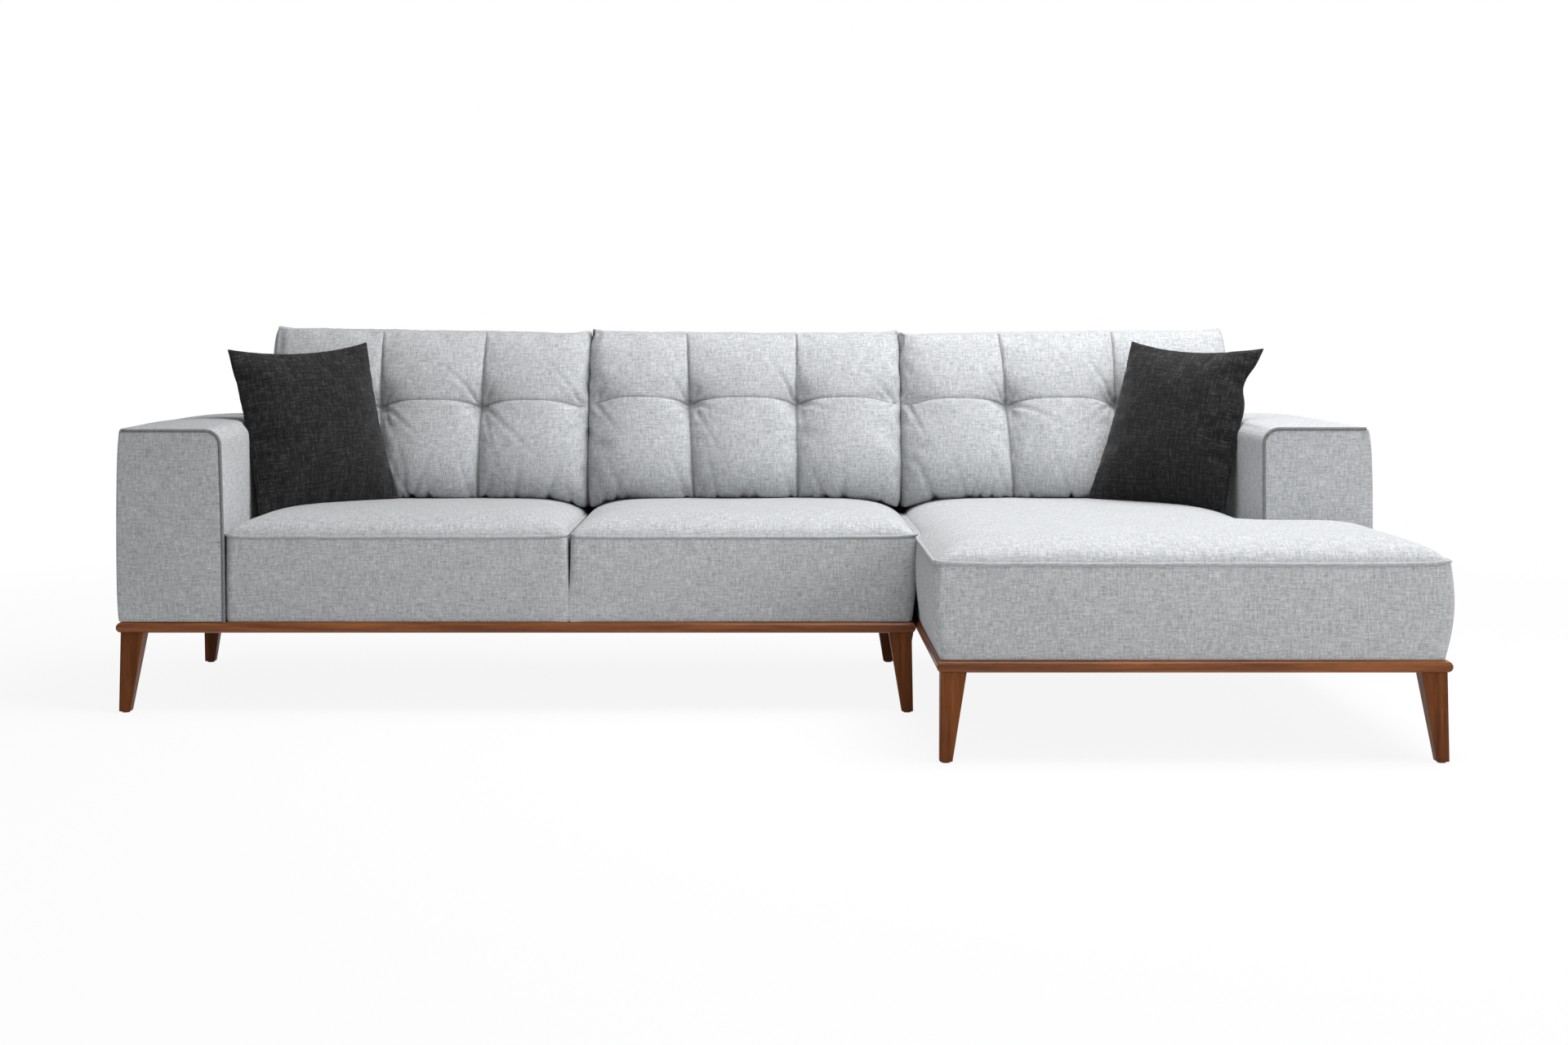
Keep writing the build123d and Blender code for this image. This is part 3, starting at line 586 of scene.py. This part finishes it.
low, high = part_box("chaise_seat_cover")
notch = (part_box("right_arm_cover")[0].x - 0.001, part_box("right_arm_cover")[0].y - 0.002)
chaise_outline = [
    (low.x, low.y), (high.x, low.y), (high.x, notch[1]), notch, (notch[0], high.y), (low.x, high.y)
]
pad, seam = seat_pad(chaise_outline, notch, None, seat_swells["chaise"])
lay_weave(pad)
nodes = ["chaise_seat_cover", "chaise_seat_foam"]
made = piece("seat_chaise", pad, grey_cloth, "chaise", nodes)
softened(made, 2)
piping("chaise_piping", [seam], seat_piping_painted_shade, "chaise", ["chaise_seat_welt"])


# Backs: an upright box of ribs and webbing wrapped in wadding and the same cloth. The front leans back
# above the seat, and the rear top edge is rolled over a soft roll.
back_foot_depth = 0.140
back_head_depth = 0.090
back_lean = (back_foot_depth - back_head_depth) / (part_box("sofa_back_cover")[1].z - seat_edge)
back_roll = 0.03
back_corner = 0.007
back_bow = 0.004


def back_pad(node, swell_left, swell_right):
    """One back; the swells are how far its two ends press against what stands beside it."""
    low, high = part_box(node)
    low.x -= swell_left
    high.x += swell_right
    block = upright_block(plan(low, high), low.z, high.z)
    rolled = [
        edge for edge in block.edges
        if all(corner.co.z > high.z - 1e-5 for corner in edge.verts)
        and all(corner.co.y > high.y - 1e-5 for corner in edge.verts)
    ]
    bmesh.ops.bevel(
        block, geom=rolled, offset=back_roll, affect="EDGES", segments=5, profile=0.5, material=-1
    )
    ends = [
        edge for edge in block.edges
        if abs(edge.verts[0].co.x - edge.verts[1].co.x) < 1e-5
        and min(corner.co.y for corner in edge.verts) > low.y + 0.01
        and min(abs(edge.verts[0].co.x - low.x), abs(edge.verts[0].co.x - high.x)) < 1e-5
    ]
    bmesh.ops.bevel(
        block, geom=ends, offset=back_corner, affect="EDGES", segments=2, profile=0.5, material=-1
    )
    cut_across(block, 0, crowding(low.x, high.x, 0.06))
    cut_across(block, 1, crowding(low.y, high.y, 0.05))
    cut_across(block, 2, crowding(low.z, high.z, 0.06))
    block.normal_update()
    middle = (low.x + high.x) / 2
    for corner in block.verts:
        depth = (high.y - corner.co.y) / (high.y - low.y)
        out = corner.normal.y > 0.7
        span = 1 - (2 * (corner.co.x - middle) / (high.x - low.x)) ** 2
        tall = 1 - (2 * (corner.co.z - low.z) / (high.z - low.z) - 1) ** 2
        if corner.co.z > seat_edge:
            corner.co.y += depth * back_lean * (corner.co.z - seat_edge)
        if out:
            corner.co.y += back_bow * span * tall + noise.noise(corner.co * 4.0) * 0.0015
    block.normal_update()
    lay_weave(block)
    return block


for body, swell_left, swell_right in (("sofa", 0.0, 0.0055), ("chaise", 0.0055, 0.0)):
    back = back_pad(f"{body}_back_cover", swell_left, swell_right)
    made = piece(f"back_{body}", back, grey_cloth, body, [f"{body}_back_cover"])
    softened(made, 1)


# Arms: a boarded frame under wadding and cloth. The outer side bows out a little, the inner top edge is
# softly rounded, and piping follows the front panel along its top and down its inner edge.
arm_inner_round = 0.035
arm_outer_round = 0.008
arm_crown = 0.011
arm_front_bow = 0.003
arm_seam_sink = 0.002
arm_ripple = 0.0015


def arm_pad(node, inner_high, lean, bow, drop):
    """One arm: lean is how far its inner face draws back towards the top, bow how far its outer side swells
    and drop how far the front of its top sags."""
    low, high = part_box(node)
    inner, outer = (high.x, low.x) if inner_high else (low.x, high.x)
    block = upright_block(plan(low, high), low.z, high.z)

    def long_edge(x):
        return [
            edge for edge in block.edges
            if all(corner.co.z > high.z - 1e-5 and abs(corner.co.x - x) < 1e-5 for corner in edge.verts)
        ]

    for x, offset, segments in ((inner, arm_inner_round, 7), (outer, arm_outer_round, 3)):
        edges = long_edge(x)
        bmesh.ops.bevel(
            block, geom=edges, offset=offset, affect="EDGES", segments=segments, profile=0.5, material=-1
        )
    cut_across(block, 0, crowding(low.x, high.x, 0.04))
    cut_across(block, 1, crowding(low.y, high.y, 0.05))
    cut_across(block, 2, crowding(low.z, high.z, 0.045))
    block.normal_update()
    seam = [
        edge for edge in block.edges
        if len(edge.link_faces) == 2
        and min(face.normal.y for face in edge.link_faces) < -0.9
        and max(face.normal.y for face in edge.link_faces) > -0.1
        and min(corner.co.z for corner in edge.verts) > low.z - 1e-5
        and max(corner.co.z for corner in edge.verts) > low.z + 1e-4
        and max(abs(corner.co.x - outer) for corner in edge.verts) > arm_outer_round + 0.0001
    ]
    seam_corners = {corner for edge in seam for corner in edge.verts}
    for corner in block.verts:
        height = (corner.co.z - low.z) / (high.z - low.z)
        away = abs(corner.co.x - inner) / (high.x - low.x)
        run = (corner.co.y - low.y) / (high.y - low.y)
        swollen = bow * (1 - height ** 10) * (1 - 0.8 * (1 - height) ** 12)
        outside = -1 if inner > outer else 1
        ripple = noise.noise(corner.co * 5.0) * arm_ripple
        step = Vector((0, 0, 0))
        if away > 0.9:
            step.x = (ripple + swollen) * outside
        if corner.normal.z > 0.9 and corner not in seam_corners:
            swell = math.sin(math.pi * min(1, away)) ** 0.6
            swell *= math.sin(math.pi * min(1, run * 2.2 + 0.02) / 2)
            step.z = arm_crown * swell * min(1.0, (1 - run) * 8) + ripple
        if corner.normal.y < -0.9 and corner not in seam_corners:
            step.y = -arm_front_bow * math.sin(math.pi * height) * math.sin(math.pi * away) + ripple
        if corner in seam_corners:
            step += Vector((arm_seam_sink * outside, arm_seam_sink, -arm_seam_sink - drop * height ** 8))
        step.x += lean * height ** 1.5 * max(0.0, 1 - away * 1.1) * outside
        corner.co += step
    block.normal_update()
    lay_weave(block)
    run, closed = walk(seam)
    return block, ([corner.co.copy() for corner in run], closed)


arm_forms = (("left_arm", "sofa", 0.011, 0.007, 0.005), ("right_arm", "chaise", 0.0, 0.010, 0.0))
for name, body, lean, bow, drop in arm_forms:
    pad, seam = arm_pad(f"{name}_cover", name == "left_arm", lean, bow, drop)
    made = piece(f"{name}_pad", pad, grey_cloth, body, [f"{name}_cover"])
    softened(made, 2)
    # The arm piping takes the darker cloth, painted shade for the groove it lies in.
    piping(f"{name}_piping", [seam], arm_piping_painted_shade, body, [f"{name}_welt"])


# Back cushions: loose fibre-filled bags with a foam core. The front is sewn from six panels, three across
# and two up, and ties pull the crossings of the seams back into the filling.
def fill(made, held, pressure, growth, frames, cap):
    """Fill a sewn bag by simulation: held is how firmly each corner is kept, growth the spare cloth."""
    mesh = made.data
    start = np.empty(len(mesh.vertices) * 3)
    mesh.vertices.foreach_get("co", start)
    pins = made.vertex_groups.new(name="held")
    for index, weight in held.items():
        pins.add([index], weight, "REPLACE")
    cloth = made.modifiers.new("filling", "CLOTH")
    settings = cloth.settings
    settings.quality = 5
    settings.mass = 0.25
    settings.tension_stiffness = 20
    settings.compression_stiffness = 14
    settings.shear_stiffness = 6
    settings.bending_stiffness = 0.35
    settings.tension_damping = 8
    settings.compression_damping = 8
    settings.air_damping = 2
    settings.use_pressure = True
    settings.uniform_pressure_force = pressure
    settings.shrink_min = -growth
    settings.effector_weights.gravity = 0
    if held:
        settings.vertex_group_mass = "held"
        settings.pin_stiffness = 1.0
    cloth.collision_settings.use_collision = False
    cloth.point_cache.frame_start = 1
    cloth.point_cache.frame_end = frames
    for now in range(1, frames + 1):
        scene.frame_set(now)
    filled = made.evaluated_get(bpy.context.evaluated_depsgraph_get()).to_mesh()
    end = np.empty(len(start))
    filled.vertices.foreach_get("co", end)
    made.modifiers.remove(cloth)
    made.vertex_groups.remove(pins)
    scene.frame_set(1)
    step = (end - start).reshape(-1, 3)
    length = np.maximum(np.linalg.norm(step, axis=1, keepdims=True), 1e-9)
    step *= cap * np.tanh(length / cap) / length
    mesh.vertices.foreach_set("co", start + step.reshape(-1))
    mesh.update()


def refined(made):
    """Make a piece's net twice as fine, and smooth."""
    softened(made, 1)
    finer = bpy.data.meshes.new_from_object(made.evaluated_get(bpy.context.evaluated_depsgraph_get()))
    coarse = made.data
    made.modifiers.clear()
    made.data = finer
    bpy.data.meshes.remove(coarse)


def sewn_net(step):
    """Cuts across one panel, from seam to seam, crowding at both."""
    count = round(0.8 / step)
    return [0.02, 0.055] + [0.1 + 0.8 * index / count for index in range(count + 1)] + [0.945, 0.98]


def bell(distance, spread):
    """1 at no distance, falling away smoothly over the spread."""
    return math.exp(-((distance / spread) ** 2))


back_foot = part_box("sofa_back_cover")[0].y
arm_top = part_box("left_arm_cover")[1].z
lap_start, lap_rise = 0.012, 0.05
press_reach, press_gap = 0.06, 0.0008
# Depth below the level seam and above it: where each starts, what it gains by its end, and its swell
lower_depth = (0.154, 0.024, 0.040)
upper_depth = (0.178, -0.070, 0.014)
# Depth and spread of the dents along the upright seams, below the level seam, along it, and at a tuft
upright_dent = (0.003, 0.0042)
lower_dent = (0.005, 0.02)
level_dent = (0.0018, 0.0038)
tuft_depth, end_tuft_depth, tuft_spread = 0.016, 0.008, 0.038
# How wide the painted shade runs along the upright seams and along the level seam
upright_shade_spread, level_shade_spread = 0.0019, 0.0018


def above_arm(z):
    """0 up to the top of the arms, 1 from a little above it."""
    return min(1.0, max(0.0, (z - arm_top - lap_start) / lap_rise))


def press(made, neighbours):
    """Dent a soft piece where it lies against its neighbours."""
    graph = bpy.context.evaluated_depsgraph_get()
    for name in neighbours:
        tree = BVHTree.FromObject(bpy.data.objects[name], graph)
        for vertex in made.data.vertices:
            place, normal, _, _ = tree.find_nearest(vertex.co, press_reach)
            if place is not None and (vertex.co - place).dot(normal) < press_gap:
                vertex.co = place + normal * press_gap


def folds(edges, seed):
    """Tucks along the foot of a cushion, and creases that run out from where its seams cross."""
    chance = random.Random(seed)
    tucks = []
    for start, stop in zip(edges, edges[1:]):
        for _ in range(6):
            place = start + chance.uniform(0.06, 0.94) * (stop - start)
            depth, spread = chance.uniform(0.005, 0.012), chance.uniform(0.004, 0.009)
            tucks.append((place, depth, spread, chance.uniform(-0.6, 0.6), chance.uniform(0.025, 0.06)))
    for seam in edges[1:-1]:
        for way in (-1, 1):
            tucks.append((seam + way * 0.02, 0.007, 0.009, way * 0.35, 0.06))
    creases = []
    for place in edges:
        spread = (-150, -118, -92, -64, -30, 42, 135) if 0 < place < 1 else (-125, -60, 50, 130)
        for turn in spread:
            angle = math.radians(turn + chance.uniform(-13, 13))
            length, depth = chance.uniform(0.035, 0.085), chance.uniform(0.003, 0.0075)
            creases.append((place, math.cos(angle), math.sin(angle), length, depth))
    return tucks, creases


def sewn_bag(low, high, edges, seam_runs, seam_share, tops, laps, seed):
    """A cushion's cloth before it is filled, and how firmly its corners are held meanwhile."""
    width = high.x - low.x
    tall = high.z - low.z
    seams = edges[1:-1]
    bag = bmesh.new()
    bmesh.ops.create_cube(bag, size=1)
    bmesh.ops.translate(bag, verts=bag.verts, vec=(0.5, 0.5, 0.5))
    for start, stop in zip(edges, edges[1:]):
        cut_across(bag, 0, [start + share * (stop - start) for share in sewn_net(0.045)])
    cut_across(bag, 0, seams)
    cut_across(bag, 1, [index / 9 for index in range(1, 9)])
    cut_across(bag, 2, [share * seam_share for share in sewn_net(0.05)] + [seam_share])
    cut_across(bag, 2, [seam_share + share * (1 - seam_share) for share in sewn_net(0.08)])
    bag.verts.index_update()
    across_kept = bag.verts.layers.float.new("across")
    up_kept = bag.verts.layers.float.new("up")
    front_kept = bag.verts.layers.float.new("front")
    held = {}
    for corner in bag.verts:
        across, back, up = corner.co
        forward = 1 - back
        front = forward > 1 - 1e-5
        corner[across_kept] = across
        corner[up_kept] = up
        corner[front_kept] = 1.0 if front else 0.0
        panel = max(index for index in range(3) if across > edges[index] - 1e-6)
        within = (across - edges[panel]) / (edges[panel + 1] - edges[panel])
        dome = 1 - (2 * within - 1) ** 2
        if up <= seam_share:
            share = up / seam_share
            swell = math.sin(math.pi * share ** 0.55)
            start, gain, full = lower_depth
            puff = 0.010 + 0.018 * swell
            arch = share ** 2
        else:
            share = (up - seam_share) / (1 - seam_share)
            swell = math.sin(math.pi * share)
            start, gain, full = upper_depth
            puff = 0.009 * (1 - share) + 0.005 * swell
            arch = (1 - share) ** 2
        depth = start + gain * share + full * swell
        end = abs(2 * across - 1)
        level = 1 - abs(2 * within - 1) ** 3
        z = low.z + tall * up + (0.013 * level - 0.006) * arch * forward
        rear = back_foot + back_lean * (z - seat_edge) - 0.0005
        y = rear - depth * forward - puff * dome * max(0.0, forward * 2 - 1)
        y += 0.010 * max(0.0, end - 0.94) / 0.06 * forward ** 2
        ease = 0.001 + 0.010 * forward ** 3
        knots = (0.0, *(foot + (head - foot) * up for head, foot in seam_runs), 1.0)
        placed = knots[panel] + within * (knots[panel + 1] - knots[panel])
        x = low.x + width / 2 + (placed - 0.5) * (width - 2 * ease)
        lap = laps[1] * max(0.0, across - 0.7) / 0.3 - laps[0] * max(0.0, 0.3 - across) / 0.3
        x += lap * above_arm(z)
        if up > 1 - 1e-5:
            z -= 0.005 * (2 * forward - 1) ** 2 - 0.006 * max(0.0, end - 0.9) / 0.1
        left, middle, right = tops
        off_level = left * (1 - across) * (1 - 2 * across) + right * across * (2 * across - 1)
        z += up ** 3 * (off_level + middle * 4 * across * (1 - across))
        sag = 0.010 + max(0.0, (end - 0.8) / 0.2) ** 1.5 * 0.018
        corner.co = (x, y, z - sag * max(0.0, 1 - up / 0.2))
        line = min(abs(across - seam) for seam in seams) < 1e-5
        seam_row = abs(up - seam_share) < 1e-5
        firm = 0.0
        if back > 1 - 1e-5:
            firm = 1.0
        elif up < 1e-5 or up > 1 - 1e-5:
            firm = 0.6
        elif front and line:
            firm = 1.0 if seam_row else 0.85 if up < seam_share else 0.85 - 0.55 * share
        elif front and end > 1 - 1e-5:
            firm = 0.7 if seam_row else 0.5
        elif front and seam_row:
            firm = 0.12
        if firm:
            held[corner.index] = firm
    bmesh.ops.recalc_face_normals(bag, faces=bag.faces)
    bag.normal_update()
    for corner in bag.verts:
        corner.co += corner.normal * noise.noise(corner.co * 11.0 + Vector((seed, 0, 0))) * 0.0025
    return bag, held


def draw_in(bag, low, high, edges, seam_share, laps, seed):
    """Sink the seams, tufts, creases and tucks into the front of a filled cushion, and paint shade along
    its seams.
    """
    width = high.x - low.x
    tall = high.z - low.z
    tucks, creases = folds(edges, seed)
    bag.normal_update()
    across_kept = bag.verts.layers.float["across"]
    up_kept = bag.verts.layers.float["up"]
    front_kept = bag.verts.layers.float["front"]
    sewn = bag.verts.layers.float.new("sewn")
    for corner in bag.verts:
        across, up, front = corner[across_kept], corner[up_kept], corner[front_kept]
        outer = above_arm(corner.co.z)
        leftmost = low.x - 0.001 - laps[0] * outer
        rightmost = high.x + 0.001 + laps[1] * outer
        corner.co.x = min(max(corner.co.x, leftmost), rightmost)
        if front < 0.02:
            continue
        place = min(edges, key=lambda edge: abs(across - edge))
        inner = 1.0 if 0 < place < 1 else 0.0
        aside = (across - place) * width
        above = (up - seam_share) * tall
        fade = min(1.0, (1 - up) / 0.06)
        # Painted shade: how far the cloth is darkened along the seams, standing in for the shade in their
        # creases.
        seam_shade_share = max(inner * bell(aside, upright_shade_spread), bell(above, level_shade_spread))
        corner[sewn] = front * min(1.0, seam_shade_share)
        sunk = fade * inner * upright_dent[0] * bell(aside, upright_dent[1])
        sunk += level_dent[0] * bell(above, level_dent[1])
        tied = tuft_depth if inner else end_tuft_depth
        sunk += tied * bell(math.hypot(aside, above), tuft_spread)
        low_share = 1.0 if above < 0 else math.exp(-above / 0.05)
        sunk += inner * low_share * lower_dent[0] * bell(aside, lower_dent[1])
        for spot, along_x, along_z, length, depth in creases:
            side_way = (across - spot) * width
            along = side_way * along_x + above * along_z
            if 0 < along < 0.2 and abs(side_way) < 0.16:
                off = above * along_x - side_way * along_z
                strength = depth * math.exp(-along / length) * min(1.0, along / 0.02)
                sunk += strength * (bell(off, 0.005) - 0.6 * bell(abs(off) - 0.011, 0.006))
        rise = up * tall
        for spot, depth, spread, tilt, reach in tucks:
            off = (across - spot) * width - tilt * rise
            if abs(off) < 0.03:
                sunk += depth * bell(off, spread) * math.exp(-rise / reach)
        corner.co -= corner.normal * (sunk * front)


def back_cushion(side, seam_runs, seam_share, tops, laps, seats, seed):
    """One cushion: seam_runs are its two upright seams as shares of the width, at the top and at the foot,
    seam_share the height of its level seam, tops how far its top edge stands off level at the left, middle
    and right, laps how far its upper ends hang out over the arms, seats the pads that it lies on."""
    low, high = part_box(f"back_cushion_{side}_cover")
    if laps[0]:
        low.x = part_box("left_arm_cover")[1].x + 0.002
    if laps[1]:
        high.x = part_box("right_arm_cover")[0].x - 0.002
    edges = (0.0, *((head + foot) / 2 for head, foot in seam_runs), 1.0)
    bag, held = sewn_bag(low, high, edges, seam_runs, seam_share, tops, laps, seed)
    nodes = [f"back_cushion_{side}_cover", f"back_cushion_{side}_core"]
    made = piece(f"cushion_{side}", bag, grey_cloth, f"back_cushion_{side}", nodes)
    fill(made, held, 3.0, 0.03, 20, 0.018)
    refined(made)
    bag = bmesh.new()
    bag.from_mesh(made.data)
    draw_in(bag, low, high, edges, seam_share, laps, seed)
    bag.to_mesh(made.data)
    bag.free()
    press(made, seats)
    bag = bmesh.new()
    bag.from_mesh(made.data)
    bag.normal_update()
    lay_weave(bag)
    bag.to_mesh(made.data)
    bag.free()


back_cushion(
    "left",
    seam_runs=((0.32, 0.336), (0.667, 0.653)),
    seam_share=0.562,
    tops=(0.008, 0.001, -0.006),
    laps=(0.029, 0.0),
    seats=["seat_left", "seat_right"],
    seed=4,
)
back_cushion(
    "middle",
    seam_runs=((0.307, 0.335), (0.67, 0.674)),
    seam_share=0.58,
    tops=(0.0, -0.005, -0.004),
    laps=(0.0, 0.0),
    seats=["seat_right", "seat_left"],
    seed=7,
)
back_cushion(
    "right",
    seam_runs=((0.316, 0.353), (0.691, 0.692)),
    seam_share=0.575,
    tops=(-0.010, -0.002, 0.0),
    laps=(0.0, 0.046),
    seats=["seat_chaise"],
    seed=10,
)


# Scatter cushions: two squares of a coarse charcoal weave sewn edge to edge round a fibre pad, leaning in
# the corners between an arm and the back cushions.
charcoal_cloth = melange(
    "charcoal_weave", (0.004, 0.004, 0.004), (0.0105, 0.0105, 0.0107), (0.046, 0.046, 0.046), 0.0022, 1.0
)
scatter_half = 0.214
scatter_puff = 0.050
scatter_turn = math.radians(40)
scatter_lean = math.radians(13)
scatter_roll = math.radians(2.5)


def scatter_cushion(side, turn_sign, shift, ear, neighbours, seed):
    """One cushion: shift is where it lies from its plain place, ear how far its outer top corner sticks
    out, neighbours what it is pressed against."""
    low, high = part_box(f"scatter_cushion_{side}_cover")
    bag = bmesh.new()
    bmesh.ops.create_grid(bag, x_segments=44, y_segments=44, size=scatter_half)
    copied = bmesh.ops.duplicate(bag, geom=bag.verts[:] + bag.edges[:] + bag.faces[:])["geom"]
    rear = {part for part in copied if isinstance(part, bmesh.types.BMVert)}
    bmesh.ops.reverse_faces(bag, faces=[part for part in copied if isinstance(part, bmesh.types.BMFace)])
    for corner in bag.verts:
        u, v = corner.co.x / scatter_half, corner.co.y / scatter_half
        dome = max(0.0, (1 - u * u) * (1 - v * v))
        lift = scatter_puff * dome ** 0.6 + noise.noise(Vector((u * 3, v * 3, seed))) * 0.005 * dome ** 0.5
        outer = -turn_sign * u
        x = corner.co.x * (1 - 0.04 * (1 - v * v) * u * u)
        y = corner.co.y * (1 - (0.09 if v > 0 else 0.045) * (1 - u * u) * v * v)
        pointed = 1 + 0.003 * abs(u * v) ** 6
        x, y = x * pointed, y * pointed
        raised = (v + 1) / 2
        x += turn_sign * 0.018 * (1 - raised) * max(0.0, outer)
        if ear:
            x += -turn_sign * (0.034 - 0.024 * outer) * raised
            x += -turn_sign * ear * max(0.0, (v - 0.55) / 0.45) ** 1.3 * max(0.0, outer) ** 3
            x -= -turn_sign * 0.018 * bell(v - 0.55, 0.2) * max(0.0, outer) ** 3
        else:
            x -= -turn_sign * 0.022 * raised * min(0.0, outer)
        corner.co = (x, y, -lift if corner in rear else lift)
    bmesh.ops.remove_doubles(bag, verts=bag.verts, dist=1e-6)
    bag.verts.index_update()
    held = {corner.index: 0.7 for corner in bag.verts if abs(corner.co.z) < 1e-6}
    lay_weave(bag)
    nodes = [f"scatter_cushion_{side}_cover", f"scatter_cushion_{side}_insert"]
    made = piece(
        f"scatter_{side}", bag, charcoal_cloth, f"scatter_cushion_{side}", nodes
    )
    fill(made, held, 3.0, 0.03, 22, 0.03)
    aside, ahead = turn_sign * math.sin(scatter_turn), math.cos(scatter_turn)
    level = math.cos(scatter_lean)
    normal = Vector((aside * level, -ahead * level, math.sin(scatter_lean)))
    across = Vector((ahead, aside, 0))
    across.rotate(Matrix.Rotation(turn_sign * scatter_roll, 3, normal))
    upward = normal.cross(across)
    axes = Matrix((across, upward, normal)).transposed().to_4x4()
    made.data.transform(Matrix.Translation((low + high) / 2 + Vector(shift)) @ axes)
    refined(made)
    press(made, neighbours)


scatter_cushion(
    "left",
    turn_sign=1,
    shift=(-0.026, 0.0, -0.016),
    ear=0.0,
    neighbours=["cushion_left", "left_arm_pad", "seat_left"],
    seed=1.3,
)
scatter_cushion(
    "right",
    turn_sign=-1,
    shift=(0.012, 0.0, -0.012),
    ear=0.010,
    neighbours=["cushion_right", "right_arm_pad", "seat_chaise"],
    seed=6.1,
)

bpy.context.view_layer.update()
